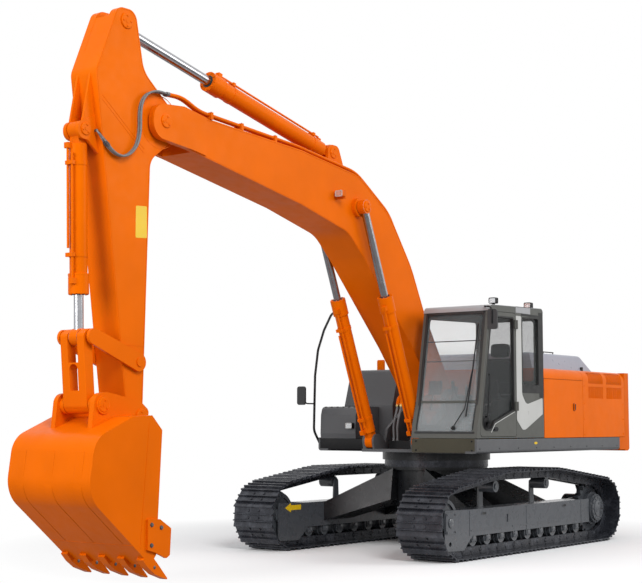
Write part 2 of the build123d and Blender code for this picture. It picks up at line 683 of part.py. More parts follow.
def counterweight():
    plan = [(HOUSE_REAR - PANEL_GAP, -DECK_HALF, 0), (-3225, -DECK_HALF, 150), (COUNTERWEIGHT_REAR, -700, 900),
            (COUNTERWEIGHT_REAR, 700, 900), (-3225, DECK_HALF, 150), (HOUSE_REAR - PANEL_GAP, DECK_HALF, 0)]
    side = [(HOUSE_REAR - PANEL_GAP, COUNTERWEIGHT_BOTTOM, 0), (-3080, COUNTERWEIGHT_BOTTOM, 90),
            (COUNTERWEIGHT_REAR + 15, 1400, 120), (COUNTERWEIGHT_REAR, 1900, 900),
            (COUNTERWEIGHT_REAR + 30, HOUSE_TOP, 150), (HOUSE_REAR - PANEL_GAP, HOUSE_TOP, 0)]
    weight = prism(plan, COUNTERWEIGHT_BOTTOM - 70, HOUSE_TOP + 64, "Z")
    weight = weight & prism(side, -DECK_HALF - 26, DECK_HALF + 26)
    weight = weight.fuse(block((-2700, HOUSE_REAR - 20), (-950, 950), (DECK_BOTTOM + DECK_PLATE, 2300)))
    corner = block((HOUSE_REAR - 30, DECK_REAR - 3), (DECK_HALF - SKIRT_DEPTH, DECK_HALF), (DECK_BOTTOM, SKIRT_TOP))
    for piece in both_sides(corner):
        weight = weight.fuse(piece)
    for _, y, depth in LIFTING_HOLES:
        weight = weight - shaft((LIFTING_X, y, HOUSE_TOP - depth), (LIFTING_X, y, HOUSE_TOP + 1), LIFTING_RADIUS)
    return weight


def tanks():
    """Fuel tank ahead of the oil tank, with a sloped face above the tool box."""
    low = DECK_BOTTOM + DECK_PLATE
    fuel = [(TANK_FRONT, low, 0), (TANK_FRONT, 1930, 0), (TANK_FRONT - 165, TANK_TOP, 90), (TANK_SPLIT + 8, TANK_TOP, 0),
            (TANK_SPLIT + 8, low, 0)]
    y = (-DECK_HALF + 35, TANK_INNER)
    t = TANK_WALL
    room = block((TANK_SPLIT + 8 + t, TANK_FRONT - 165 - t), (y[0] + t, y[1] - t), (low + t, TANK_TOP - t))
    oil = block((TANK_REAR, TANK_SPLIT), y, (low, HOUSE_TOP))
    oil = oil - block((TANK_REAR + t, TANK_SPLIT - t), (y[0] + t, y[1] - t), (low + t, HOUSE_TOP - t))
    return prism(fuel, *y) - room, oil


def tool_box():
    low = DECK_BOTTOM + DECK_PLATE
    y = (-DECK_HALF + 35, TOOLBOX_INNER)
    side = [(TOOLBOX_REAR, low, 0), (DECK_FRONT_RIGHT - 30, low, 0), (DECK_FRONT_RIGHT, 1530, 60),
            (DECK_FRONT_RIGHT - 10, LID_SPLIT, 0), (TOOLBOX_REAR, LID_SPLIT, 0)]
    box = prism(side, *y)
    room = block((TOOLBOX_REAR + BOX_WALL, DECK_FRONT_RIGHT - 50), (y[0] + BOX_WALL, y[1] - BOX_WALL),
                 (low + BOX_WALL, LID_SPLIT + 1))
    return box - room


def tool_box_lid():
    y = (-DECK_HALF + 35, TOOLBOX_INNER)
    low = LID_SPLIT + RUNNING_GAP
    side = [(TOOLBOX_REAR + 4, low, 0), (DECK_FRONT_RIGHT - 10, low, 0), (DECK_FRONT_RIGHT - 45, TOOLBOX_TOP, 70),
            (TOOLBOX_REAR + 4, TOOLBOX_TOP, 0)]
    lid = prism(side, *y)
    return lid - block((TOOLBOX_REAR + 30, DECK_FRONT_RIGHT - 90), (y[0] + 25, y[1] - 25), (low - 1, TOOLBOX_TOP - 25))


# Cab

def cab_profile(inset):
    front = CAB_FRONT - inset
    return [(front, CAB_FLOOR + inset, 0), (front - 20, 1650, 400), (1255 - inset, 1960, 1200),
            (1035 - inset, CAB_ROOF - 35 - inset, 90), (CAB_REAR + inset, CAB_ROOF - inset, 60),
            (CAB_REAR + inset, CAB_FLOOR + inset, 0)]


def door_outline(grow):
    return [(1290 + grow, CAB_FLOOR + 22 - grow, 60), (1235 + grow, 1960, 1200), (1000 + grow, CAB_ROOF - 120 + grow, 110),
            (DOOR_REAR - grow, CAB_ROOF - 110 + grow, 30), (DOOR_REAR - grow, CAB_FLOOR + 22 - grow, 40)]


def door_window():
    return [(1245, 1590, 110), (1185, 1960, 1200), (975, CAB_ROOF - 180, 70), (DOOR_REAR + 55, CAB_ROOF - 175, 30),
            (DOOR_REAR + 55, 1850, 30), (930, 1690, 90), (1010, 1590, 90)]


def side_window():
    rear = CAB_REAR + 110
    return [(1215, 1640, 60), (1160, 1960, 1200), (965, CAB_ROOF - 180, 70), (rear, CAB_ROOF - 150, 50),
            (rear, 1850, 50), (500, 1850, 200), (760, 1640, 200)]


def rear_window():
    low, high, top = CAB_INNER + 118, CAB_OUTER - 118, CAB_ROOF - 160
    return [(low, 2250, 50), (high, 2250, 50), (high, top, 50), (low, top, 50)]


def quarter_window():
    front, rear = DOOR_REAR - 175, CAB_REAR + 130
    return [(front, 2180, 40), (front, CAB_ROOF - 160, 30), (rear, CAB_ROOF - 140, 40), (rear, 2180, 40)]


def cab_shell():
    """Frame of the cab: floor, pillars, roof and rear wall, with its window and door openings cut."""
    shell = prism(cab_profile(0), CAB_INNER, CAB_OUTER)
    shell = shell - prism(cab_profile(CAB_WALL), CAB_INNER + CAB_WALL, CAB_OUTER - CAB_WALL)
    shell = shell - prism(door_outline(PANEL_GAP), CAB_OUTER - CAB_WALL - 20, CAB_OUTER + 20)
    shell = shell - prism(side_window(), CAB_INNER - 20, CAB_INNER + CAB_WALL + 20)
    shell = shell - prism(front_opening(0), 880, CAB_FRONT + 50, "X")
    shell = shell - prism(rear_window(), CAB_REAR - 20, CAB_REAR + CAB_WALL + 20, "X")
    shell = shell - prism(quarter_window(), CAB_OUTER - CAB_WALL - 20, CAB_OUTER + 20)
    shell = shell.fuse(block((1200, 1250), (CAB_INNER + 50, CAB_OUTER - 50), WINDOW_BAR))
    for x in CAB_MOUNTS_X:
        for y in CAB_MOUNTS_Y:
            shell = shell.fuse(shaft((x, y, DECK_BOTTOM + DECK_PLATE), (x, y, CAB_FLOOR + 1), 70))
    return shell


def front_opening(inset):
    """Opening of the windscreen, seen from the front, shrunk by an inset."""
    y = (CAB_INNER + 58 + inset, CAB_OUTER - 58 - inset)
    z = (CAB_FLOOR + 75 + inset, CAB_ROOF - 125 - inset)
    return [(y[0], z[0], 60), (y[1], z[0], 60), (y[1], z[1], 60), (y[0], z[1], 60)]


def cab_glass():
    """Panes in the cab's frame: front above and below the bar, right side, rear and quarter."""
    sheet = prism(cab_profile(18), CAB_INNER, CAB_OUTER)
    sheet = sheet - prism(cab_profile(18 + GLASS), CAB_INNER - 1, CAB_OUTER + 1)
    front = sheet & prism(front_opening(RUNNING_GAP), 880, CAB_FRONT + 50, "X")
    y = (CAB_INNER, CAB_OUTER)
    lower = front & block((880, CAB_FRONT + 50), y, (CAB_FLOOR, WINDOW_BAR[0] - RUNNING_GAP))
    upper = front & block((880, CAB_FRONT + 50), y, (WINDOW_BAR[1] + RUNNING_GAP, CAB_ROOF))
    return [lower, upper]


def cab_panes():
    inner = CAB_INNER + 20
    outer = CAB_OUTER - 28
    right = prism(side_window(), inner, inner + GLASS)
    rear = prism(rear_window(), CAB_REAR + 20, CAB_REAR + 20 + GLASS, "X")
    return [right, rear, prism(quarter_window(), outer, outer + GLASS)]


def cab_door():
    door = prism(door_outline(0), CAB_OUTER - CAB_WALL, CAB_OUTER)
    door = door - prism(door_window(), CAB_OUTER - CAB_WALL - 20, CAB_OUTER + 20)
    x, y = DOOR_REAR + 8, CAB_OUTER + 26
    for z in (1900, CAB_ROOF - 260):
        door = door.fuse(block((x, x + 42), (CAB_OUTER - 1, CAB_OUTER + 30), (z - 60, z + 60)))
        door = door.fuse(shaft((x, y, z - 60), (x, y, z + 60), 16))
    return door


def cab_door_glass():
    return prism(door_window(), CAB_OUTER - 30, CAB_OUTER - 30 + GLASS)


def cab_seat():
    """Seat on its box, with side consoles."""
    base = block((-60, 520), (760, 1200), (CAB_FLOOR + CAB_WALL, 1790))
    cushion = [(-60, 1790, 0), (560, 1790, 0), (560, 1930, 60), (90, 1900, 60), (-20, 2560, 60), (-150, 2560, 60)]
    seat = base.fuse(prism(cushion, 740, 1220))
    head = prism([(-30, 2540, 0), (-45, 2760, 50), (-145, 2760, 50), (-150, 2540, 0)], 840, 1120)
    return seat.fuse(head)


def cab_consoles():
    consoles = []
    for y in ((560, 700), (1250, 1370)):
        consoles.append(block((80, 640), y, (CAB_FLOOR + CAB_WALL, 2030)))
    return consoles


# Fittings of the house

def handrail():
    """Tall hoop beside the tool box, from the deck's edge over to the top of the tank."""
    path = [(700, 1350), (870, 1570), (845, 2350), (776, 2716), (633, 3010), (440, 3268), (290, 3290), (130, 3050)]
    x, y = -60, -DECK_HALF + 90
    rail = tube(in_plane(path, RAIL_SIDE) + [(x, y, TANK_TOP + 7)], RAIL_RADIUS, 160)
    return rail.fuse(shaft((x, y, TANK_TOP), (x, y, TANK_TOP + 12), RAIL_RADIUS + 14))


def mirror_cases():
    cases = []
    for place in (CAB_MIRROR, SIDE_MIRROR):
        length, width, height = MIRROR_CASE
        face = [(place[1] - width / 2, place[2] - height / 2, 35), (place[1] + width / 2, place[2] - height / 2, 35),
                (place[1] + width / 2, place[2] + height / 2, 35), (place[1] - width / 2, place[2] + height / 2, 35)]
        cases.append(prism(face, place[0] - length / 2, place[0] + length / 2, "X"))
    return cases


def mirror_brackets():
    """Bent arms that carry the mirrors: one from the cab's roof edge, one from the handrail."""
    gap = RUNNING_GAP
    x, y, z = CAB_MIRROR
    front = x + MIRROR_CASE[0] / 2 + BRACKET_RADIUS + gap
    cab_arm = tube([(930, CAB_OUTER - 90, CAB_ROOF - 60), (front, CAB_OUTER - 40, CAB_ROOF - 60), (front, y, CAB_ROOF - 70),
                    (front, y, z - 60)], BRACKET_RADIUS, 50)
    x, y, z = SIDE_MIRROR
    rear = 858.5 + RAIL_RADIUS + gap
    front = x - MIRROR_CASE[0] / 2 - BRACKET_RADIUS - gap
    rail_arm = tube([(rear, RAIL_SIDE, 1950), (front - 60, RAIL_SIDE, 1950), (front, y, 1990), (front, y, z + 60)],
                    BRACKET_RADIUS, 60)
    return [cab_arm - cab_shell(), rail_arm]


def lamp(x, y, z, size=LAMP):
    """Work lamp whose lens looks forward."""
    length, width, height = size
    case = [(y - width / 2, z - height / 2, 18), (y + width / 2, z - height / 2, 18),
            (y + width / 2, z + height / 2, 18), (y - width / 2, z + height / 2, 18)]
    return prism(case, x, x + length, "X")


def lamps():
    """Lamp on the tool box's front, and lamps on the cab's roof, each on a foot."""
    pieces = [lamp(DECK_FRONT_RIGHT - 2.7 + RUNNING_GAP, TOOLBOX_INNER - 75, 1640)]
    y, above = CAB_OUTER - 110, CAB_ROOF + LAMP[2] / 2 + RUNNING_GAP
    for x in (700, -250):
        foot = block((x + 15, x + 45), (y - 15, y + 15), (CAB_ROOF - 60, CAB_ROOF + 10))
        pieces.append(lamp(x, y, above).fuse(foot - cab_shell()))
    return pieces


def swing_drive():
    """Slewing motor behind the boom's foot."""
    low = DECK_BOTTOM + DECK_PLATE
    body = shaft((-235, 0, low), (-235, 0, low + 380), 155)
    return body.fuse(shaft((-235, 0, low + 370), (-235, 0, low + 520), 105))


def hose_block():
    """Block at the deck's front edge where the boom's hoses start."""
    low = DECK_BOTTOM + DECK_PLATE
    return block((700, 840), (-230, 230), (low, low + 110))


def boom_foot_hoses():
    """Four hoses from the block on the deck up to the elbows under the boom."""
    low = DECK_BOTTOM + DECK_PLATE + 110
    hoses = []
    for y in (-190, -130, 130, 190):
        path = [(770, low), (770, low + 140), (700, 1800), (ELBOW[0] + 40, ELBOW[1] - 75)]
        hoses.append(tube(in_plane(path, y), HOSE_RADIUS, 110))
    return hoses


# Boom, arm and bucket

def boom_profile(inset):
    """Side view of the bent box boom, from the foot along its top to the tip and back."""
    f, t = BOOM_FOOT, BOOM_TIP
    return [(f[0] - 165 + inset, f[1] - 60, 150), (f[0] - 120 + inset, f[1] + 190, 150), (728 + inset, 3211, 0),
            (1020 + inset, 3765, 1500), (1500 + inset / 2, 4380, 1300), (2230, 4840 - inset, 700), (3446, 4985 - inset, 900),
            (5290, 5075 - inset, 0), (5560 - inset, 5130 - inset, 0), (5560 - inset, 4690 + inset, 0),
            (3443, 4318 + inset, 700), (2470, 4085 + inset, 500), (2130 - inset, 3790 + inset, 500), (1016 - inset, 2695, 0),
            (654 - inset, 2290, 0), (f[0] + 150 - inset, f[1] - 150 + inset, 130)]


def boom_void():
    """Hollow inside of the boom's box."""
    return [(820, 2760, 0), (1080, 3720, 1500), (1560, 4330, 1300), (2260, 4790, 700), (3446, 4960, 900), (5290, 5045, 0),
            (5290, 4715, 0), (3443, 4350, 700), (2430, 4120, 500), (2080, 3830, 500), (1010, 2790, 0)]


def boom():
    shape = prism(boom_profile(0), -BOOM_HALF, BOOM_HALF)
    shape = shape - prism(boom_void(), -BOOM_HALF + BOOM_PLATE, BOOM_HALF - BOOM_PLATE)
    shape = shape - cross_pin(BOOM_FOOT, -BOOM_HALF - 1, BOOM_HALF + 1, 55 + ROD_GAP / 2)
    t = BOOM_TIP
    shape = shape - block((5380, 5700), (-FORK_INNER, FORK_INNER), (4600, 5200))
    nose = [(5200, 5070, 0), (5560, 5130, 0), (t[0] + 190, t[1] + 170, 180), (t[0] + 190, t[1] - 190, 180),
            (5420, 4672, 0), (5200, 4640, 0)]
    for piece in both_sides(prism(nose, FORK_INNER, FORK_OUTER)):
        shape = shape.fuse(piece)
    return shape


def boom_fittings(shape):
    """Bosses of the boom: rod eyes' pins outside, and the arm cylinder's clevis on top."""
    for piece in both_sides(cross_pin(BOOM_CYLINDER_EYE, BOOM_HALF - 1, BOOM_BOSS, 120)):
        shape = shape.fuse(piece)
    c = ARM_CYLINDER_FOOT
    ear = [(c[0] - 260, 4860, 0), (c[0] - 105, c[1] + 100, 90), (c[0] + 105, c[1] + 100, 90), (c[0] + 125, 4880, 0)]
    for piece in both_sides(prism(ear, 76, 116)):
        shape = shape.fuse(piece)
    shape = shape.fuse(cross_pin(c, -125, 125, 50))
    tip = cross_pin(BOOM_TIP, -FORK_OUTER - 12, FORK_OUTER + 12, 60)
    return shape.fuse(tip)


def boom_lamp():
    """Lamp on the left side of the boom, on its bracket."""
    x, z = BOOM_LAMP
    bracket = block((x - 25, x - 5), (BOOM_HALF, BOOM_HALF + 140), (z - 60, z + 45))
    return bracket.fuse(lamp(x - 6, BOOM_HALF + 85, z))


def boom_pipes():
    """Pipes on the boom's top with their clamps, and the elbows under its foot."""
    top = [(1264, 4070), (1520, 4415), (2230, 4840), (3446, 4985), (5290, 5075), (5500, 5118)]
    raised = []
    for index, (x, z) in enumerate(top):
        before, after = top[max(index - 1, 0)], top[min(index + 1, len(top) - 1)]
        length = span(before, after)
        raised.append((x - (after[1] - before[1]) / length * PIPE_LIFT, z + (after[0] - before[0]) / length * PIPE_LIFT))
    pieces = []
    for inner, outer in zip(PIPE_SIDES, HOSE_SIDES):
        route = in_plane(raised[:4], inner) + in_plane([raised[4], (5560, 5236), PIPE_END], outer)
        pieces.append(tube(route, PIPE_RADIUS, 700))
    clamps = []
    for share in (0.25, 0.6, 0.9):
        x, z = along(top[3], top[4], share)
        flare = share * (HOSE_SIDES[0] - PIPE_SIDES[0])
        y = (PIPE_SIDES[0] + flare - 32, PIPE_SIDES[1] + flare + 27)
        clamps.append(block((x - 20, x + 20), y, (z + 1.3, z + PIPE_LIFT + PIPE_RADIUS + 8)))
    left = pieces[0].fuse(pieces[1], *clamps)
    return both_sides(left)


def arm_hoses():
    """Two hoses from the pipes' ends over the joint to the arm's left side."""
    path = beyond(BOOM_TIP, (247, 298), (362, 43), (337, -217), (487, -477), (747, -447))
    hoses = []
    for y in HOSE_SIDES:
        route = in_plane([(PIPE_END[0] + RUNNING_GAP, PIPE_END[1])] + path, y)
        hoses.append(tube(route + [(path[-1][0], ARM_HALF + RUNNING_GAP, path[-1][1])], HOSE_RADIUS, 170))
    return hoses


# Arm

def arm_profile():
    """Side view of the arm: cylinder horns, front edge down to the bucket's pin, and back up to the boom's tip."""
    horns = beyond(BOOM_TIP, (382, 1143, 125), (652, 1133, 125), (947, 393, 160), (837, -357, 700))
    tip = beyond(BUCKET_PIN, (117, 145, 200), (118, -118, 105), (-122, -118, 105), (-136, 165, 0))
    return horns + tip + beyond(BOOM_TIP, (132, -437, 200), (-190, -190, 180), (-190, 170, 170), (247, 513, 300))


def arm_void():
    """Hollow inside of the arm's box, between its foot and its tip."""
    return (beyond(BOOM_TIP, (327, 423, 0), (907, 383, 0), (812, -357, 700))
            + beyond(BUCKET_PIN, (142, 725, 0), (-148, 725, 0)) + beyond(BOOM_TIP, (159, -397, 200), (237, -217, 0)))


def arm():
    shape = prism(arm_profile(), -ARM_HALF, ARM_HALF)
    shape = shape - prism(arm_void(), -ARM_HALF + ARM_PLATE, ARM_HALF - ARM_PLATE)
    t, d = BOOM_TIP, BUCKET_CYLINDER_FOOT
    shape = shape - block((t[0], t[0] + 1150), (-EAR_INNER, EAR_INNER), (t[1] + 643, t[1] + 1300))
    shape = shape - cross_pin(t, -ARM_HALF - 10, ARM_HALF + 10, 60.05)
    ear = beyond(d, (-299, 240, 0), (-20, 110, 100), (105, 60, 90), (105, -100, 90), (-40, -110, 60), (-299, -330, 0))
    for piece in both_sides(prism(ear, 72, 112)):
        shape = shape.fuse(piece)
    shape = shape.fuse(cross_pin(d, -122, 122, 45))
    for piece in both_sides(cross_pin(ARM_CYLINDER_EYE, ARM_HALF - 1, ARM_HALF + 12, 62)):
        shape = shape.fuse(piece)
    shape = shape.fuse(cross_pin(ROCKER_PIN, -ROCKER_INNER + RUNNING_GAP, ROCKER_INNER - RUNNING_GAP, 95))
    shape = shape.fuse(cross_pin(ROCKER_PIN, -ROCKER_OUTER - 12, ROCKER_OUTER + 12, 45))
    return shape.fuse(cross_pin(BUCKET_PIN, -315, 315, 45))


def barrel(size, reach, eye_half, pin_radius, eye_radius):
    """Cylinder barrel along +X from its foot pin: eye, neck, tube open at the gland."""
    radius, rod_radius, shown = size
    length = reach - shown
    eye = Solid.make_cylinder(eye_radius, 2 * eye_half, Plane(origin=(0, -eye_half, 0), z_dir=(0, 1, 0)))
    neck = block((0, BARREL_START + 5), (-eye_half, eye_half), (-eye_radius * 0.6, eye_radius * 0.6))
    tube = shaft((BARREL_START, 0, 0), (length, 0, 0), radius)
    gland = shaft((length - GLAND_LENGTH, 0, 0), (length, 0, 0), radius + GLAND_STEP)
    body = eye.fuse(neck).fuse(tube).fuse(gland)
    body = body - shaft((BARREL_START + 40, 0, 0), (length - 100, 0, 0), radius - BARREL_WALL)
    body = body - shaft((length - 101, 0, 0), (length + 1, 0, 0), rod_radius + ROD_GAP)
    bore = Solid.make_cylinder(pin_radius + RUNNING_GAP / 4, 2 * eye_half + 2,
                               Plane(origin=(0, -eye_half - 1, 0), z_dir=(0, 1, 0)))
    return body - bore


def rod(size, reach, inside, eye_half, eye_radius):
    """Piston rod along +X, from its piston inside the barrel to its eye."""
    radius, rod_radius, _ = size
    bar = shaft((inside, 0, 0), (reach, 0, 0), rod_radius)
    piston = shaft((inside, 0, 0), (inside + 100, 0, 0), radius - BARREL_WALL - RUNNING_GAP)
    eye = Solid.make_cylinder(eye_radius, 2 * eye_half, Plane(origin=(reach, -eye_half, 0), z_dir=(0, 1, 0)))
    return bar.fuse(piston).fuse(eye)


def span(start, end):
    return hypot(end[0] - start[0], end[1] - start[1])


def cylinders():
    pieces = {}
    foot, eye = BOOM_CYLINDER_FOOT, BOOM_CYLINDER_EYE
    barrel_shape = barrel(BOOM_CYLINDER, span(foot, eye), 55, 45, 88)
    rod_shape = rod(BOOM_CYLINDER, span(foot, eye), BOOM_PISTON, 50, 88)
    for name, side in (("left", BOOM_CYLINDER_SIDE), ("right", -BOOM_CYLINDER_SIDE)):
        pieces["boom_cylinder_barrel_" + name] = [cylinder_piece(barrel_shape, foot, eye, side)]
        pieces["boom_cylinder_rod_" + name] = [cylinder_piece(rod_shape, foot, eye, side)]
    foot, eye = ARM_CYLINDER_FOOT, ARM_CYLINDER_EYE
    pieces["arm_cylinder_barrel"] = [cylinder_piece(barrel(ARM_CYLINDER, span(foot, eye), 70, 50, 110), foot, eye, 0)]
    pieces["arm_cylinder_rod"] = [cylinder_piece(rod(ARM_CYLINDER, span(foot, eye), ARM_PISTON, 70, 105), foot, eye, 0)]
    foot, eye = BUCKET_CYLINDER_FOOT, LINK_PIN
    barrel_shape = barrel(BUCKET_CYLINDER, span(foot, eye), 66, 45, 92)
    rod_shape = rod(BUCKET_CYLINDER, span(foot, eye), BUCKET_PISTON, 60, 88)
    pieces["bucket_cylinder_barrel"] = [cylinder_piece(barrel_shape, foot, eye, 0)]
    pieces["bucket_cylinder_rod"] = [cylinder_piece(rod_shape, foot, eye, 0)]
    return pieces


def rounded_bar(start, end, start_radius, end_radius, low, high):
    """Flat bar with round ends between two pivots."""
    angle = degrees(atan2(end[1] - start[1], end[0] - start[0]))
    length = span(start, end)
    lean = (start_radius - end_radius) / length
    rise = sqrt(1 - lean ** 2)
    corners = []
    for radius, x, sign in ((start_radius, 0, 1), (end_radius, length, 1), (end_radius, length, -1), (start_radius, 0, -1)):
        corners.append((x + radius * lean, sign * radius * rise))
    flat = Wire.make_polygon([(a, low, b) for a, b in corners], close=True)
    bar = Solid.extrude(Face(flat), Vector(0, high - low, 0))
    bar = bar.rotate(Axis.Y, -angle).moved(Location((start[0], 0, start[1])))
    return bar.fuse(cross_pin(start, low, high, start_radius), cross_pin(end, low, high, end_radius))


def rocker_links():
    link = rounded_bar(ROCKER_PIN, LINK_PIN, 95, 82, ROCKER_INNER, ROCKER_OUTER)
    link = link - cross_pin(ROCKER_PIN, ROCKER_INNER - 1, ROCKER_OUTER + 1, 45.1)
    return both_sides(link)


def h_link():
    """Link from the rockers to the bucket: slim body with a slot, and a round eye at each end."""
    top, bottom = beyond(LINK_PIN, (LINK_BOW, 0))[0], beyond(BUCKET_LINK_PIN, (LINK_BOW, 0))[0]
    body = rounded_bar(top, bottom, LINK_DEPTH, LINK_DEPTH, -LINK_HALF, LINK_HALF)
    body = body.fuse(cross_pin(LINK_PIN, -LINK_HALF, LINK_HALF, 82))
    body = body.fuse(cross_pin(BUCKET_LINK_PIN, -LINK_HALF, LINK_HALF, 88))
    body = body - rounded_bar(LINK_PIN, along(LINK_PIN, BUCKET_LINK_PIN, 0.2), 150, 150, -72, 72)
    start, end = along(top, bottom, 0.40), along(top, bottom, 0.79)
    slot = [(-LINK_SLOT, start[1], LINK_SLOT), (LINK_SLOT, start[1], LINK_SLOT), (LINK_SLOT, end[1], 0),
            (-LINK_SLOT, end[1], 0)]
    body = body - prism(slot, start[0] - 300, start[0] + 300, "X")
    return body - cross_pin(BUCKET_LINK_PIN, -200, 200, LINK_EYE)


def bucket_profile():
    """Side view of the bucket's wrapper, from the top corner round the back to the lip."""
    return beyond(BUCKET_PIN, (142, 15, 0), (412, 0, 120), (932, -215, 260), (1012, -775, 330), (402, -1275, 0),
                  (142, -1490, 0))


def bucket():
    outer = bucket_profile() + [(*on_lip(0, 126), 0)] + beyond(BUCKET_PIN, (-8, -135, 0))
    shell = prism(outer, -BUCKET_HALF, BUCKET_HALF)
    inner = beyond(BUCKET_PIN, (-88, -45, 0), (402, -35, 110), (910, -231, 240), (990, -763, 310), (390, -1249, 0),
                   (102, -1497, 0), (-88, -1535, 0))
    shell = shell - prism(inner, -BUCKET_HALF + BUCKET_SIDE, BUCKET_HALF - BUCKET_SIDE)
    lip = [(-LIP_DEPTH, 0), (0, 0), (0, LIP_PLATE), (-LIP_DEPTH, LIP_PLATE)]
    shell = shell.fuse(lip_prism(lip, -BUCKET_HALF + 1, BUCKET_HALF - 1))
    ears = beyond(BUCKET_PIN, (162, -45, 0), (-58, -85, 0), (-130, 60, 60), (10, 165, 130), (487, 249, 110),
                  (657, 229, 110), (697, -135, 0))
    for piece in both_sides(prism(ears, EAR_SIDE, EAR_SIDE + 60)):
        shell = shell.fuse(piece)
    shell = shell.fuse(*both_sides(cross_pin(BUCKET_LINK_PIN, LINK_HALF + 8, EAR_SIDE + 78, 92)))
    shell = shell.fuse(cross_pin(BUCKET_LINK_PIN, -LINK_HALF - 18, LINK_HALF + 18, LINK_EYE - ROD_GAP / 2))
    shell = shell - cross_pin(BUCKET_PIN, -EAR_SIDE, EAR_SIDE, 138)
    return shell - cross_pin(BUCKET_PIN, -400, 400, 45 + ROD_GAP / 2)


def on_lip(ahead, above):
    """Point at a distance ahead of the lip's edge and above its underside, as x and z."""
    back, edge = bucket_profile()[-2:]
    length = span(back, edge)
    way = ((edge[0] - back[0]) / length, (edge[1] - back[1]) / length)
    return (edge[0] + way[0] * ahead + way[1] * above, edge[1] + way[1] * ahead - way[0] * above)


def lip_prism(corners, low, high):
    return prism([(*on_lip(*corner), 0) for corner in corners], low, high)


def bucket_teeth():
    """Pointed teeth, each with two legs that straddle the lip."""
    gap, thick = RUNNING_GAP, LIP_PLATE
    nose = [(gap, -38), (120, -30), (TOOTH_REACH, 30), (TOOTH_REACH, 44), (120, thick + 32), (gap, thick + 46)]
    lower_leg = [(-118, -gap), (-118, -25), (-20, -38), (2, -38), (2, -gap)]
    upper_leg = [(-130, thick + gap), (2, thick + gap), (2, thick + 46), (-100, thick + 40)]
    teeth = []
    inside = BUCKET_HALF - BUCKET_SIDE - gap
    for index in range(TOOTH_COUNT):
        y = -TOOTH_SPREAD / 2 + index * TOOTH_SPREAD / (TOOTH_COUNT - 1)
        low, high = y - TOOTH_WIDTH / 2, y + TOOTH_WIDTH / 2
        tooth = lip_prism(nose, low, high).fuse(lip_prism(lower_leg, low, high))
        teeth.append(tooth.fuse(lip_prism(upper_leg, max(low, -inside), min(high, inside))))
    return teeth


def side_cutters():
    plate = beyond(BUCKET_PIN, (212, -1030, 0), (37, -1035, 0), (-128, -1135, 20), (-113, -1405, 20), (-58, -1435, 20),
                   (102, -1365, 0), (212, -1335, 0))
    return both_sides(prism(plate, BUCKET_HALF + RUNNING_GAP, BUCKET_HALF + 28))


def upper_structure():
    fuel, oil = tanks()
    joint = BODY_TOP + BEARING_HEIGHT
    return {
        "swing_turntable": [flat_ring(BEARING_RADIUS, BEARING_BORE, joint + RUNNING_GAP, DECK_BOTTOM)],
        "main_frame": [main_frame()],
        "side_skirts": [side_skirt(DECK_FRONT_LEFT, 1), side_skirt(DECK_FRONT_RIGHT, -1)],
        "counterweight": [counterweight()],
        "engine_block": [engine_block()],
        "rear_panel_left": [rear_panel()], "rear_panel_right": [mirrored(rear_panel())],
        "house_roof": house_roof(),
        "fuel_tank": [fuel], "oil_tank": [oil],
        "tool_box": [tool_box()],
        "cab_shell": [cab_shell()],
        "cab_glass": cab_glass() + cab_panes(),
        "cab_seat": [cab_seat()] + cab_consoles(),
        "handrails": [handrail()],
        "mirrors": mirror_cases(), "mirror_brackets": mirror_brackets(),
        "lamps": lamps(),
        "swing_drive": [swing_drive()],
        "hose_block": [hose_block()],
        "boom_foot_hoses": boom_foot_hoses(),
    }


def movers():
    boom_shape = boom_fittings(boom())
    return {
        "cab_door": [cab_door()], "cab_door_glass": [cab_door_glass()],
        "side_door_left": [side_door(HOUSE_FRONT)],
        "side_door_right": [mirrored(side_door(TANK_REAR - 4))],
        "engine_hood": [engine_hood()],
        "tool_box_lid": [tool_box_lid()],
        "boom": [boom_shape], "boom_lamp": [boom_lamp()], "boom_pipes": boom_pipes(), "arm_hoses": arm_hoses(),
        "arm": [arm()],
        "rocker_links": rocker_links(),
        "h_link": [h_link()],
        "bucket": [bucket()],
        "bucket_teeth": bucket_teeth(),
        "side_cutters": side_cutters(),
    } | cylinders()


def all_nodes():
    return undercarriage() | upper_structure() | movers()


def middle_x(nodes):
    """Where the middle of the machine's length lies from the swing axis."""
    boxes = [piece.bounding_box() for pieces in nodes.values() for piece in pieces]
    return (min(b.min.X for b in boxes) + max(b.max.X for b in boxes)) / 2


def main():
    os.makedirs("parts", exist_ok=True)
    nodes = all_nodes()
    shift = Location((-middle_x(nodes), 0, 0))
    for name, pieces in nodes.items():
        moved = [piece.moved(shift) for piece in pieces]
        export_step(moved[0] if len(moved) == 1 else Compound(children=moved), f"parts/{name}.step")


if __name__ == "__main__":
    main()
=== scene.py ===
"""Looks of the crawler excavator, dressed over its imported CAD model. Metres, +X the digging direction, +Z up."""

import json
from math import atan2, cos, hypot, pi, radians, sin, sqrt, tan

import bmesh
import bpy
from mathutils import Matrix, Vector


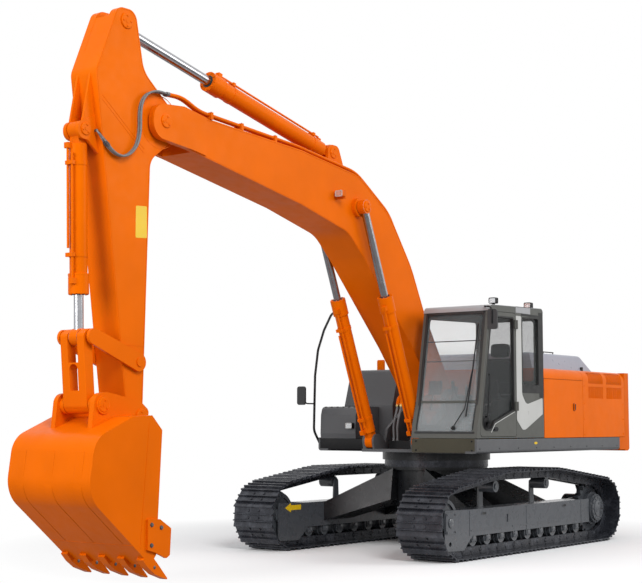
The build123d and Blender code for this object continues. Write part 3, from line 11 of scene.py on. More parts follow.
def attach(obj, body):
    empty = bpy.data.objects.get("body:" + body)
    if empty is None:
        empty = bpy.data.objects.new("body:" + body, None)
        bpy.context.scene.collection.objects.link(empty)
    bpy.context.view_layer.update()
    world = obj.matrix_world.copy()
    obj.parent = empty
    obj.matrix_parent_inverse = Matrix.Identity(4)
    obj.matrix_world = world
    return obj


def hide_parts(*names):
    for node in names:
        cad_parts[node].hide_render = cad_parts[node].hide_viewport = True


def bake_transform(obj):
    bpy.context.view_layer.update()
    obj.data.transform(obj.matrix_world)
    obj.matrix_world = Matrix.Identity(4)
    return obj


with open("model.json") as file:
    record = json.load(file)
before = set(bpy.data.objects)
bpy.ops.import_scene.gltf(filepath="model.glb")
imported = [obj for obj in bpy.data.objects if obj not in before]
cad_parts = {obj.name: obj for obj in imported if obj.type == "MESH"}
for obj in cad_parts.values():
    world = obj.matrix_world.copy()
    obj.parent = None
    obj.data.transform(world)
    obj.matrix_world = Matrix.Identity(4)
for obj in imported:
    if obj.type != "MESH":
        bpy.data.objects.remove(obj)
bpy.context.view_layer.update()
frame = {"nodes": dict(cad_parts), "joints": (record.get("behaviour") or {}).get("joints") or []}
NODES = frame["nodes"]
JOINTS = {joint["name"]: joint for joint in frame["joints"]}
SWING_X = JOINTS["swing"]["pos_m"][0]      # the swing axis, which sizes along the machine count from

# The photograph's camera, from the swing axis
CAMERA_PLACE = (16.685, 10.554, 1.666)
CAMERA_YAW = -142.988
CAMERA_PITCH = 5.414
CAMERA_ROLL = 0.074
CAMERA_LENS = 78.28

# Colours, linear
ORANGE = (0.80, 0.140, 0.001)
# Orange of the cast parts: the counterweight's rough cast paint, darkened as painted shade.
SHADED_CAST_ORANGE = (0.72, 0.125, 0.004)
# Roof grey: the roof's own grey, lightened as a painted highlight of the sky.
LIGHT_GREY = (0.30, 0.31, 0.37)
ROOF_GREY_AND_SKY_HIGHLIGHT = (0.33, 0.33, 0.34)
DARK_GREY = (0.090, 0.092, 0.097)
OLIVE_GREY = (0.078, 0.079, 0.070)
DECK_OLIVE = (0.066, 0.060, 0.042)
BODY_BLACK = (0.011, 0.012, 0.014)
FRAME_GREY = (0.062, 0.067, 0.076)
TRACK_GREY = (0.028, 0.030, 0.038)
BLACK = (0.010, 0.010, 0.011)
SILVER = (0.50, 0.50, 0.48)
YELLOW = (0.78, 0.50, 0.012)
DUST = (0.20, 0.17, 0.13)

# Sizes of the machine in mm from the swing axis, as x and z where there are two
TRACK_MIDDLE = 1295
TRACK_PLATE = 68
CHAIN_HALF = 110
BELT_WHEELS = [(-2025, 456, 361), (2025, 456, 361), (790, 862, 125), (-590, 862, 125)]   # x, z, radius
SHOE_COUNT = 48
MOTOR = (-2025, 456)
FRAME_FACE = 1435
ROLLERS = [-1450 + index * 2830 / 8 for index in range(9)]
HOUSE_SIDE = 1474                        # the cab's outer side too
CAB_INNER_SIDE = 487
CAB_FLOOR = 1536
SEAT_MIDDLE = 980
BOOM_HALF = 270
ARM_HALF = 190
FOOT_HOSES = (-190, -130, 130, 190)      # across the machine
BOOM_PIPES = (218, 258)                  # across the machine, on each side
BOOM_CYLINDERS = 378                     # across the machine, on each side
BOOM_FOOT = (150, 1980)
BOOM_TIP = (5853.0, 4917.3)
BUCKET_PIN = (6187.5, 1734.8)
LINK_PIN = (6797.5, 2545.8)
BUCKET_LINK_PIN = (6734.5, 1853.8)
ARM_EYE = (6370, 5920.3)
ARM_FOOT = (2580, 5105)
BUCKET_FOOT = (6859, 4684.3)
BOOM_CYLINDER_FOOT = (1040, 1430)
BOOM_CYLINDER_EYE = (2280, 4420)
LIP = ((402, -1275), (142, -1490))       # underside of the bucket's lip, back and edge, from the bucket pin


# Materials

def new_material(name):
    material = bpy.data.materials.new(name)
    material.use_nodes = True
    tree = material.node_tree
    return material, tree, tree.nodes["Principled BSDF"]


def feed(node, inputs):
    """Sets a node's inputs, each to a value or to what another node gives."""
    for name, value in inputs.items():
        target = node.inputs[name]
        if isinstance(value, bpy.types.NodeSocket):
            node.id_data.links.new(value, target)
        else:
            target.default_value = (*value, 1) if target.type == "RGBA" else value


def new_node(tree, kind, inputs, **settings):
    node = tree.nodes.new("ShaderNode" + kind)
    for name, value in settings.items():
        setattr(node, name, value)
    feed(node, inputs)
    return node


def own_place(tree):
    """The object's own coordinates."""
    return new_node(tree, "TexCoord", {}).outputs["Object"]


def noise(tree, scale, detail=4.0, roughness=0.55):
    """Noise in the object's own coordinates."""
    inputs = {"Vector": own_place(tree), "Scale": scale, "Detail": detail, "Roughness": roughness}
    return new_node(tree, "TexNoise", inputs).outputs["Fac"]


def ramp(tree, source, low=0.0, high=1.0, dark=0.0, light=1.0):
    """Turns a value between low and high into one between dark and light."""
    inputs = {"Value": source, "From Min": low, "From Max": high, "To Min": dark, "To Max": light}
    return new_node(tree, "MapRange", inputs).outputs["Result"]


def mottle(tree, scale, detail=4.0, uneven=0.55, low=0.3, high=0.7, dark=0.0, light=1.0):
    """Noise spread between dark and light."""
    return ramp(tree, noise(tree, scale, detail, uneven), low, high, dark, light)


def mix_colour(tree, factor, first, second):
    node = new_node(tree, "Mix", {"Factor": factor}, data_type="RGBA")
    colours = [index for index, socket in enumerate(node.inputs) if socket.type == "RGBA"]
    feed(node, dict(zip(colours, (first, second))))
    return [socket for socket in node.outputs if socket.type == "RGBA"][0]


def shaded(tree, factor, colour, darkest):
    """A colour and its darker shade, mixed by a factor."""
    return mix_colour(tree, factor, tuple(value * darkest for value in colour), colour)


def bump(tree, shader, height, strength, distance):
    node = new_node(tree, "Bump", {"Strength": strength, "Distance": distance, "Height": height})
    feed(shader, {"Normal": node.outputs["Normal"]})


def paint(name, colour, roughness, coat=0.03, dust=0.04, gloss=0.12, tint=(1.0, 1.0, 1.0), peel=0.05, grain=160.0):
    """Sprayed paint: a faint change of shade, orange peel, uneven gloss and a thin veil of dust."""
    material, tree, shader = new_material(name)
    base = shaded(tree, mottle(tree, 1.3, 3.0), colour, 0.88)
    veil = mottle(tree, 3.5, 8.0, 0.7, 0.52, 0.80, light=dust)
    feed(shader, {"Base Color": mix_colour(tree, veil, base, DUST),
                  "Roughness": mottle(tree, 9.0, dark=roughness - 0.05, light=roughness + 0.10),
                  "Specular IOR Level": gloss, "Specular Tint": tint, "Coat Weight": coat, "Coat Roughness": 0.15})
    bump(tree, shader, noise(tree, grain, 3.0), peel, 0.002)
    return material


def worn_steel(name, colour, bright, roughness, dust=0.15):
    """Steel with bare rubbed patches, scratches and rust-brown dust."""
    material, tree, shader = new_material(name)
    base = mix_colour(tree, mottle(tree, 7.0, 8.0, 0.7, 0.48, 0.72), colour, bright)
    veil = mottle(tree, 2.2, 6.0, 0.65, 0.48, 0.78, light=dust)
    feed(shader, {"Base Color": mix_colour(tree, veil, base, DUST), "Metallic": 0.45,
                  "Roughness": mottle(tree, 18.0, dark=roughness - 0.12, light=roughness + 0.15)})
    bump(tree, shader, noise(tree, 45.0, 6.0), 0.12, 0.003)
    return material


def plastic(name, colour, roughness, grain=220.0):
    material, tree, shader = new_material(name)
    feed(shader, {"Base Color": shaded(tree, mottle(tree, 6.0), colour, 0.75),
                  "Roughness": mottle(tree, 12.0, dark=roughness - 0.05, light=roughness + 0.1)})
    bump(tree, shader, noise(tree, grain, 2.0), 0.12, 0.001)
    return material


def metal(name, colour, smeared, roughness):
    """Bare polished metal with a smear of oil."""
    material, tree, shader = new_material(name)
    feed(shader, {"Base Color": mix_colour(tree, mottle(tree, 14.0, 6.0, low=0.4, high=0.75), colour, smeared),
                  "Metallic": 1.0, "Roughness": mottle(tree, 20.0, dark=roughness, light=roughness + 0.14)})
    bump(tree, shader, noise(tree, 30.0, 2.0), 0.02, 0.0005)
    return material


def cloth(name, colour):
    """Woven seat cloth: crossed threads and a soft sheen."""
    material, tree, shader = new_material(name)
    wave = new_node(tree, "TexWave", {"Vector": own_place(tree), "Scale": 120.0, "Distortion": 2.0})
    threads = wave.outputs["Fac"]
    feed(shader, {"Base Color": shaded(tree, ramp(tree, threads), colour, 0.5),
                  "Roughness": mottle(tree, 30.0, dark=0.80, light=0.95), "Sheen Weight": 0.3})
    bump(tree, shader, threads, 0.4, 0.001)
    return material


def glass(name, tint, split):
    """Tinted glass outside a level of y. The panes inside it are clear above and carry a painted reflection of the sky
    below, a patchy light grey sheet that covers more of them low down.
    """
    material, tree, shader = new_material(name)
    spot = new_node(tree, "SeparateXYZ", {"Vector": own_place(tree)}).outputs
    outside = ramp(tree, spot["Y"], split - 0.01, split + 0.01)
    # Painted reflection of the sky: how much the light grey sheet covers, most low on the panes.
    painted_sky_cover = ramp(tree, spot["Z"], 1.75, 2.7, 0.42, 0.10)
    painted_sky_patches = mottle(tree, 1.2, 3.0, low=0.35, high=0.65)
    painted_sky_colour = mix_colour(tree, painted_sky_patches, (0.30, 0.33, 0.34), (0.40, 0.43, 0.44))
    blend = new_node(tree, "Mix", {"Factor": outside, "A": painted_sky_cover, "B": tint})
    feed(shader, {"Base Color": mix_colour(tree, outside, painted_sky_colour, (0.014, 0.019, 0.020)),
                  "Roughness": mottle(tree, 2.0, 3.0, high=0.8, dark=0.02, light=0.05),
                  "Alpha": blend.outputs["Result"], "Specular IOR Level": 0.5})
    return material


def lens(name):
    """Ribbed reflector under a clear cover."""
    material, tree, shader = new_material(name)
    feed(shader, {"Base Color": mix_colour(tree, mottle(tree, 90.0, 2.0), (0.45, 0.47, 0.48), (0.80, 0.82, 0.84)),
                  "Metallic": 0.6, "Roughness": mottle(tree, 40.0, dark=0.08, light=0.2), "Coat Weight": 1.0})
    bump(tree, shader, noise(tree, 120.0, 2.0), 0.3, 0.002)
    return material


# Each material's maker, and what follows the name in its call
MADE_BY = {
    paint: {
        "orange_paint": (ORANGE, 0.34, 0.0, 0.015, 0.09, (1.0, 0.5, 0.06)),
        "cast_orange": (SHADED_CAST_ORANGE, 0.44, 0.0, 0.03, 0.1, (1.0, 0.5, 0.08), 0.35, 55.0),
        "light_grey_paint": (LIGHT_GREY, 0.30, 0.2, 0.04, 0.5),
        "roof_paint": (ROOF_GREY_AND_SKY_HIGHLIGHT, 0.35, 0.2, 0.04, 0.4),
        "dark_grey_paint": (DARK_GREY, 0.38, 0.1, 0.04, 0.35),
        "olive_paint": (OLIVE_GREY, 0.40, 0.1, 0.04, 0.35),
        "deck_paint": (DECK_OLIVE, 0.5, 0.02),
        "body_paint": (BODY_BLACK, 0.28, 0.0, 0.03, 0.35),
        "frame_grey_paint": (FRAME_GREY, 0.27, 0.3, 0.03, 0.5),
        "black_paint": (BLACK, 0.4, 0.2),
        "silver_paint": (SILVER, 0.32, 0.2, 0.04, 0.4),
        "yellow_film": (YELLOW, 0.42, 0.2, 0.02),
    },
    worn_steel: {
        "track_steel": (TRACK_GREY, (0.075, 0.080, 0.095), 0.28, 0.05),
        "bare_steel": ((0.10, 0.10, 0.105), (0.28, 0.28, 0.28), 0.38),
    },
    metal: {
        "rod_chrome": ((0.40, 0.40, 0.42), (0.33, 0.33, 0.345), 0.14),
        "brass": ((0.34, 0.24, 0.09), (0.25, 0.18, 0.07), 0.32),
        "mirror_glass": ((0.75, 0.77, 0.80), (0.70, 0.72, 0.75), 0.03),
    },
    glass: {"window_glass": (0.30, 1.38)},
    lens: {"lamp_lens": ()},
    cloth: {"seat_cloth": ((0.030, 0.031, 0.034),)},
    plastic: {
        "seat_plastic": ((0.03, 0.03, 0.033), 0.7),
        "console_plastic": ((0.035, 0.036, 0.036), 0.55),
        "hose_rubber": ((0.018, 0.018, 0.019), 0.5, 90.0),
        "grey_hose": ((0.17, 0.175, 0.18), 0.5, 90.0),
        "gasket_rubber": ((0.010, 0.010, 0.010), 0.55),
        "mirror_case": ((0.018, 0.018, 0.02), 0.45),
    },
}
MATERIALS = {name: maker(name, *row) for maker, rows in MADE_BY.items() for name, row in rows.items()}


def by_name(groups):
    """Turns keys with the names under them into names with their key."""
    return {name: key for key, names in groups.items() for name in names.split()}


# Materials, with their CAD nodes; what isn't named is orange
NODE_MATERIAL = by_name({
    "body_paint": "car_body swing_turntable",
    "frame_grey_paint": "track_frame_left track_frame_right track_rollers_left track_rollers_right idlers "
                        "travel_drives engine_block swing_drive",
    "track_steel": "track_left track_right swing_bearing_ring",
    "dark_grey_paint": "side_skirts main_frame tool_box tool_box_lid fuel_tank",
    "light_grey_paint": "engine_hood",
    "cast_orange": "counterweight boom_lamp",
    "olive_paint": "cab_shell cab_door",
    "seat_plastic": "cab_seat",
    "window_glass": "cab_glass cab_door_glass",
    "black_paint": "handrails mirror_brackets lamps hose_block",
    "mirror_case": "mirrors",
    "hose_rubber": "boom_foot_hoses arm_hoses",
    "rod_chrome": "arm_cylinder_rod bucket_cylinder_rod boom_cylinder_rod_left boom_cylinder_rod_right",
})

# Widths in mm, with the CAD nodes whose sharp edges are eased by them
EASED = by_name({
    4: "bucket_teeth side_cutters track_frame_left track_frame_right main_frame h_link rocker_links",
    5: "boom arm side_skirts", 6: "side_door_left side_door_right", 7: "cab_shell cab_door", 8: "car_body",
    12: "engine_hood", 14: "counterweight", 20: "fuel_tank", 22: "tool_box tool_box_lid",
})


def dress_nodes():
    for name, node in NODES.items():
        node.data.materials.clear()
        node.data.materials.append(MATERIALS[NODE_MATERIAL.get(name, "orange_paint")])
        if name in EASED:
            ease(node, EASED[name])


def ease(thing, width):
    """Rounds sharp edges by a width in mm."""
    edges = thing.modifiers.new("edges", "BEVEL")
    edges.width = width / 1000
    edges.segments = 2
    edges.limit_method = "ANGLE"
    edges.angle_limit = radians(38)
    edges.harden_normals = True


# Shapes, all in mm from the swing axis

def place(x, y, z):
    """A point in mm from the swing axis, in the frame's metres."""
    return Vector((x / 1000 + SWING_X, y / 1000, z / 1000))


def beyond(pivot, corners):
    """Corners given from a pivot, moved to the machine's x and z."""
    return [(pivot[0] + corner[0], pivot[1] + corner[1], *corner[2:]) for corner in corners]


def rounded(corners, steps=6):
    """Outline of corners (a, b) or (a, b, radius), each radius worked into an arc of short runs."""
    points = []
    for index, corner in enumerate(corners):
        middle = Vector(corner[:2])
        radius = corner[2] if len(corner) > 2 else 0
        if not radius:
            points.append(tuple(middle))
            continue
        back = (Vector(corners[index - 1][:2]) - middle).normalized()
        ahead = (Vector(corners[(index + 1) % len(corners)][:2]) - middle).normalized()
        half = back.angle(ahead) / 2
        run = radius / tan(half)
        centre = middle + (back + ahead).normalized() * (radius / sin(half))
        start, end = middle + back * run - centre, middle + ahead * run - centre
        for step in range(steps + 1):
            points.append(tuple(centre + start.lerp(end, step / steps).normalized() * radius))
    return [point for index, point in enumerate(points) if (Vector(point) - Vector(points[index - 1])).length > 0.05]


def grown(points, distance):
    """A closed outline moved outwards by a distance, or inwards by a negative one."""
    area = sum(p[0] * q[1] - q[0] * p[1] for p, q in zip(points, points[1:] + points[:1]))
    turn = 1 if area > 0 else -1
    moved = []
    for index, point in enumerate(points):
        here = Vector(point)
        before = (here - Vector(points[index - 1])).normalized()
        after = (Vector(points[(index + 1) % len(points)]) - here).normalized()
        first, second = Vector((before.y, -before.x)) * turn, Vector((after.y, -after.x)) * turn
        normal = (first + second).normalized()
        moved.append(tuple(here + normal * (distance / max(normal.dot(first), 0.4))))
    return moved


def oval(a, b, wide, high, count=28):
    angles = [2 * pi * step / count for step in range(count)]
    return [(a + wide * cos(angle), b + high * sin(angle)) for angle in angles]


def rectangle(a, b, radius):
    """Rounded rectangle between pairs of limits."""
    return rounded([(a[0], b[0], radius), (a[1], b[0], radius), (a[1], b[1], radius), (a[0], b[1], radius)])


def levels(side, near, far):
    """Two distances from the machine's middle as y on one side, the lower first."""
    return sorted((side * near, side * far))


def in_space(axis, level):
    """Turns a point of an outline across an axis into one in space."""
    if axis == "X":
        return lambda a, b: place(level, a, b)
    return lambda a, b: place(a, level, b)


def skin(shape, rings):
    """Adds the solid between the first and the last of rings of as many vertices."""
    count = len(rings[0])
    for low, high in zip(rings, rings[1:]):
        for index in range(count):
            after = (index + 1) % count
            shape.faces.new((low[index], low[after], high[after], high[index]))
    shape.faces.new(rings[0][::-1])
    shape.faces.new(rings[-1])


def prism(shape, points, low, high, axis="Y"):
    """Adds the solid of an outline between two levels along an axis."""
    skin(shape, [[shape.verts.new(in_space(axis, level)(*point[:2])) for point in points] for level in (low, high)])


def band(shape, outer, inner, low, high, axis="Y"):
    """Adds the solid between two outlines of as many points, between two levels along an axis."""
    loops = [[shape.verts.new(in_space(axis, level)(*point[:2])) for point in points]
             for level in (low, high) for points in (outer, inner)]
    count = len(outer)
    for one, other in ((0, 1), (2, 3), (0, 2), (1, 3)):
        for index in range(count):
            after = (index + 1) % count
            shape.faces.new((loops[one][index], loops[one][after], loops[other][after], loops[other][index]))


def block(shape, x, y, z):
    """Adds a box between pairs of limits."""
    prism(shape, [(x[0], z[0]), (x[1], z[0]), (x[1], z[1]), (x[0], z[1])], *y)


def spokes(axis, count, shift=0.0):
    """Evenly spaced directions round an axis."""
    across = axis.orthogonal().normalized()
    other = axis.cross(across)
    angles = [2 * pi * (step + shift) / count for step in range(count)]
    return [across * cos(angle) + other * sin(angle) for angle in angles]


def turned(shape, centre, axis, profile, sides=24):
    """Adds a turned solid: its profile lists radius and height along the axis from the centre."""
    middle, axis = place(*centre), Vector(axis).normalized()
    ways = spokes(axis, sides)
    skin(shape, [[shape.verts.new(middle + axis * (height / 1000) + way * (radius / 1000)) for way in ways]
                 for radius, height in profile])


def bar(shape, start, end, radius, sides=16):
    """Adds a round bar between two points."""
    way = Vector(end) - Vector(start)
    turned(shape, start, way, [(radius, 0), (radius, way.length)], sides)


def bolt(shape, centre, axis, size):
    """Adds a hexagon bolt head on its washer."""
    turned(shape, centre, axis, [(size * 0.68, 0), (size * 0.68, size * 0.08)], 16)
    turned(shape, centre, axis, [(size * 0.55, size * 0.08), (size * 0.55, size * 0.40), (size * 0.46, size * 0.46)], 6)


def bolts_round(shape, centre, axis, radius, count, size):
    """Adds evenly spaced bolts round an axis."""
    axis = Vector(axis).normalized()
    for way in spokes(axis, count, 0.5):
        bolt(shape, tuple(Vector(centre) + way * radius), axis, size)


def new_object(name, mesh, material, body):
    """Adds an object with its material and the body it rides on, if one body carries it."""
    mesh.materials.append(MATERIALS[material])
    thing = bpy.data.objects.new(name, mesh)
    bpy.context.scene.collection.objects.link(thing)
    if body:
        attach(thing, body)
    return thing


def piece(name, shape, material, body="upperstructure", eased=0):
    """Turns a drawn shape into a piece that rides on a body."""
    bmesh.ops.recalc_face_normals(shape, faces=shape.faces)
    for face in shape.faces:
        face.smooth = True
    for edge in shape.edges:
        if len(edge.link_faces) == 2 and edge.calc_face_angle() > radians(32):
            edge.smooth = False
    mesh = bpy.data.meshes.new(name)
    shape.to_mesh(mesh)
    shape.free()
    thing = new_object(name, mesh, material, body)
    if eased:
        ease(thing, eased)
    return thing


def flat_piece(name, points, low, high, material, body="upperstructure", eased=0, axis="Y"):
    """A piece that is one prism."""
    shape = bmesh.new()
    prism(shape, points, low, high, axis)
    piece(name, shape, material, body, eased)


def hose(name, points, radius, material, body=None):
    """Round hose on a smooth line through space, as a mesh."""
    curve = bpy.data.curves.new(name + "_line", "CURVE")
    curve.dimensions = "3D"
    curve.bevel_depth = radius / 1000
    curve.bevel_resolution = 3
    curve.resolution_u = 8
    curve.use_fill_caps = True
    line = curve.splines.new("NURBS")
    line.points.add(len(points) - 1)
    for spot, point in zip(line.points, points):
        spot.co = (*place(*point), 1)
    line.order_u = 4
    line.use_endpoint_u = True
    holder = bpy.data.objects.new(name + "_line", curve)
    mesh = bpy.data.meshes.new_from_object(holder)
    mesh.name = name
    mesh.materials.clear()
    bpy.data.objects.remove(holder)
    bpy.data.curves.remove(curve)
    for face in mesh.polygons:
        face.use_smooth = True
    return new_object(name, mesh, material, body)


SIDES = ((1, "left"), (-1, "right"))


# Tracks

def belt(wheels, count):
    """Evenly spaced points of a belt round wheels (x, z, radius), listed anticlockwise from the side."""
    runs = []
    for index, (x, z, radius) in enumerate(wheels):
        x2, z2, radius2 = wheels[(index + 1) % len(wheels)]
        apart = hypot(x2 - x, z2 - z)
        forward = ((x2 - x) / apart, (z2 - z) / apart)
        lean = (radius - radius2) / apart
        normal = (forward[0] * lean + forward[1] * sqrt(1 - lean ** 2),
                  forward[1] * lean - forward[0] * sqrt(1 - lean ** 2))
        runs.append((normal, apart * sqrt(1 - lean ** 2)))
    pieces = []
    for index, (x, z, radius) in enumerate(wheels):
        normal_in = runs[index - 1][0]
        normal_out, length = runs[index]
        first = atan2(normal_in[1], normal_in[0])
        turn = (atan2(normal_out[1], normal_out[0]) - first) % (2 * pi)
        pieces.append((turn * radius, "arc", (x, z, radius, first)))
        start = (x + normal_out[0] * radius, z + normal_out[1] * radius)
        pieces.append((length, "run", (start, (-normal_out[1], normal_out[0]))))
    total = sum(part[0] for part in pieces)
    points = []
    for step in range(count):
        left = total * step / count
        for length, kind, data in pieces:
            if left <= length:
                break
            left -= length
        if kind == "arc":
            x, z, radius, first = data
            points.append((x + radius * cos(first + left / radius), z + radius * sin(first + left / radius)))
        else:
            start, way = data
            points.append((start[0] + way[0] * left, start[1] + way[1] * left))
    return points


# Outline of a link: share of the pitch, and height above the pins
LINK_SHAPE = [(-0.14, -14), (-0.14, 16), (-0.02, 36), (0.14, 54), (0.86, 54), (1.02, 36), (1.10, 10), (1.08, -20),
              (0.84, -43), (0.16, -43), (0.0, -30)]


def track_details(side, name):
    """Shoe bolts, and the links and pins of the chain, which stand a few mm proud of its rails."""
    pins = belt(BELT_WHEELS, SHOE_COUNT)
    middle = side * TRACK_MIDDLE
    bolts, links = bmesh.new(), bmesh.new()
    for index, (x, z) in enumerate(pins):
        x2, z2 = pins[(index + 1) % len(pins)]
        pitch = hypot(x2 - x, z2 - z)
        way = ((x2 - x) / pitch, (z2 - z) / pitch)
        out = (way[1], -way[0])

        def at(share, height):
            return (x + way[0] * pitch * share + out[0] * height, z + way[1] * pitch * share + out[1] * height)

        for share in (0.27, 0.71):
            a, b = at(share, TRACK_PLATE)
            for y in (middle - 85, middle + 85):
                bolt(bolts, (a, y, b), (out[0], 0, out[1]), 30)
        proud = 4 + 3 * (index % 2)
        outline = [at(*corner) for corner in LINK_SHAPE]
        for face in (-1, 1):
            rail = middle + face * CHAIN_HALF
            prism(links, outline, *sorted((rail, rail + face * proud)))
            turned(links, (x, rail, z), (0, face, 0), [(31, 0), (31, proud + 1), (27, proud + 3)], 16)
            turned(links, (x, rail, z), (0, face, 0), [(18, 0), (18, proud + 5)], 12)
    piece("shoe_bolts_" + name, bolts, "track_steel", "undercarriage")
    piece("chain_links_" + name, links, "track_steel", "undercarriage", 1.5)


# Plates and seams on the track frame's face: x, z, radius of the corners, thickness
FRAME_PLATES = [((1836, 2070), (322, 586), 24, 10), ((-900, 420), (330, 350), 4, 6), ((660, 1470), (330, 350), 4, 6),
                ((1495, 1505), (276, 594), 3, 4), ((-1565, -1555), (276, 594), 3, 4), ((35, 45), (276, 594), 3, 4)]


def frame_details(side, name):
    """Caps of the rollers, the bolted plate at the idler, rimmed slots, each with a black sheet as painted shade in the
    hole, and seams of a track frame.
    """
    caps, plates, slot_shade = bmesh.new(), bmesh.new(), bmesh.new()
    for x in ROLLERS:
        for inner in (-1, 1):
            seat = side * TRACK_MIDDLE + inner * 124.8
            turned(caps, (x, seat, 230), (0, inner, 0), [(38, 0), (38, 7), (31, 11)], 20)
            for shift in (-44, 44):
                bolt(caps, (x + shift, seat, 206), (0, inner, 0), 22)
    for x, z, radius, thick in FRAME_PLATES:
        prism(plates, rectangle(x, z, radius), *levels(side, FRAME_FACE, FRAME_FACE + thick))
    on_plate = side * (FRAME_FACE + FRAME_PLATES[0][3])
    turned(plates, (1960, on_plate, 456), (0, side, 0), [(58, 0), (58, 10), (48, 16)], 28)
    for x in (1860, 2046):
        for z in (348, 560):
            bolt(plates, (x, on_plate, z), (0, side, 0), 24)
    for x in (1148, -1044):
        slot = oval(x, 540, 50, 17)
        band(plates, oval(x, 540, 62, 27), slot, *levels(side, FRAME_FACE, FRAME_FACE + 5))
        # Black sheet in each slot: painted shade inside the hole.
        prism(slot_shade, slot, *levels(side, FRAME_FACE, FRAME_FACE + 1))
    piece("roller_caps_" + name, caps, "frame_grey_paint", "undercarriage")
    piece("frame_plates_" + name, plates, "frame_grey_paint", "undercarriage", 2)
    piece("frame_slot_shade_" + name, slot_shade, "gasket_rubber", "undercarriage")


def motor_details(side, name):
    """Bolt rings, cover and plugs of the travel gearbox."""
    shape = bmesh.new()
    x, z = MOTOR
    middle, axis = side * TRACK_MIDDLE, (0, side, 0)
    cover = (x, middle + side * 178, z)
    bolts_round(shape, (x, middle + side * 150, z), axis, 191, 20, 18)
    bolts_round(shape, cover, axis, 150, 12, 22)
    turned(shape, cover, axis, [(118, 0), (118, 8), (106, 14)], 40)
    for angle in (90, 210, 330):
        spot = (x + 70 * cos(radians(angle)), middle + side * 192, z + 70 * sin(radians(angle)))
        turned(shape, spot, axis, [(16, 0), (16, 6)], 6)
    piece("motor_cover_" + name, shape, "frame_grey_paint", "undercarriage")


def track_arrow():
    """Yellow arrow that points to the front, on the inside of the right track frame."""
    outline = [(1945, 545), (1818, 607), (1818, 578), (1600, 578), (1600, 512), (1818, 512), (1818, 483)]
    flat_piece("track_arrow", outline, -1155, -1153.5, "yellow_film", "undercarriage")


# House

def grille_shade_sheet(side, name):
    """Black sheet behind the louvres, upright and under the shoulder, as painted shade in the gaps between the slats.
    """
    shape = bmesh.new()
    shoulder = [(1431, 2236), (1431, 2306), (1398, 2366), (1345, 2393), (1290, 2393), (1290, 2386), (1342, 2386),
                (1392, 2360), (1424, 2303), (1424, 2236)]
    prism(shape, [(side * y, z) for y, z in shoulder], -2888, -1762, "X")
    block(shape, (-2888, -1762), levels(side, 1424, 1431), (2030, 2216))
    piece("grille_shade_sheet_" + name, shape, "gasket_rubber")


def grille_slats(side, name):
    """Fine upright slats over the louvres and round the shoulder."""
    shape = bmesh.new()
    edge = rounded([(1470, 2246), (1470, 2432, 128), (1296, 2432)], 8)[:-1]
    inner = [(1464, 2246)] + [(1464 - 0.97 * (1470 - y), 2246 + 0.97 * (z - 2246)) for y, z in edge[1:]]
    ribbon = [(side * y, z) for y, z in edge + inner[::-1]]
    for start, end in ((-2250, -1770), (-2880, -2360)):
        for index in range(20):
            x = start + (index + 0.5) * (end - start) / 20
            prism(shape, ribbon, x - 5, x + 5, "X")
            block(shape, (x - 5, x + 5), levels(side, 1464, 1470), (2038, 2207))
    piece("grille_slats_" + name, shape, "orange_paint")


def panel_details(side, name):
    """Bolts of the fixed rear panel and of the skirt."""
    shape = bmesh.new()
    for x in (-2930, -1645):
        for z in (1520, 1740, 1960, 2215):
            bolt(shape, (x, side * HOUSE_SIDE, z), (0, side, 0), 17)
    piece("panel_bolts_" + name, shape, "orange_paint")
    shape = bmesh.new()
    front, count = (1300, 9) if side > 0 else (700, 8)
    for index in range(count):
        x = -2700 + index * (front + 2700) / (count - 1)
        bolt(shape, (x, side * HOUSE_SIDE, 1352), (0, side, 0), 18)
    piece("skirt_bolts_" + name, shape, "dark_grey_paint")


def door_handle(side, name):
    """Black pocket and paddle of a side door."""
    shape = bmesh.new()
    for x, z, radius, thick in (((-1346, -1288), (1852, 1958), 18, 3), ((-1330, -1304), (1862, 1948), 8, 25)):
        prism(shape, rectangle(x, z, radius), *levels(side, HOUSE_SIDE, HOUSE_SIDE + thick))
    turned(shape, (-1317, side * (HOUSE_SIDE + 25), 1936), (0, side, 0), [(9, 0), (9, 3)], 16)
    piece("door_handle_" + name, shape, "black_paint", "side_door_" + name, 2)


def hood_details():
    """Latches and lifting handles of the engine hood."""
    latches, handles = bmesh.new(), bmesh.new()
    for side in (-1, 1):
        for x in (-1240, -2500):
            prism(latches, rectangle((x - 28, x + 28), (2450, 2520), 8), *levels(side, 1000, 1023))
        for x in (-1950, -1650):
            bar(handles, (x, side * 820, 2690), (x, side * 820, 2722), 8)
        bar(handles, (-1958, side * 820, 2722), (-1642, side * 820, 2722), 8)
    piece("hood_latches", latches, "black_paint", "engine_hood", 2)
    piece("hood_handles", handles, "black_paint", "engine_hood")


def tank_details():
    """Filler cap, lifting lug and non-slip treads on the tanks and the tool box."""
    shape = bmesh.new()
    turned(shape, (-360, -880, 2446), (0, 0, 1), [(78, 0), (78, 12), (66, 14), (66, 46), (56, 54)], 32)
    piece("filler_cap", shape, "black_paint")
    lug = rounded([(-235, 2440), (-165, 2440), (-165, 2600, 30), (-235, 2600, 30)])
    flat_piece("tank_lug", lug, -1120, -1022, "orange_paint", eased=6)
    shape = bmesh.new()
    for row in range(6):
        for column in range(7):
            spot = (270 + column * 72, -1400 + row * 102, 1905)
            turned(shape, spot, (0, 0, 1), [(22, 0), (22, 2), (16, 5)], 12)
    piece("box_tread", shape, "black_paint", "tool_box_lid")
    shape = bmesh.new()
    for row in range(7):
        for column in range(6):
            x, y = -520 + column * 72, -1390 + row * 84
            if hypot(x + 360, y + 880) > 110 and hypot(x + 60, y + 1384) > 60:
                turned(shape, (x, y, 2446), (0, 0, 1), [(20, 0), (20, 2), (15, 5)], 12)
    piece("tank_tread", shape, "black_paint")


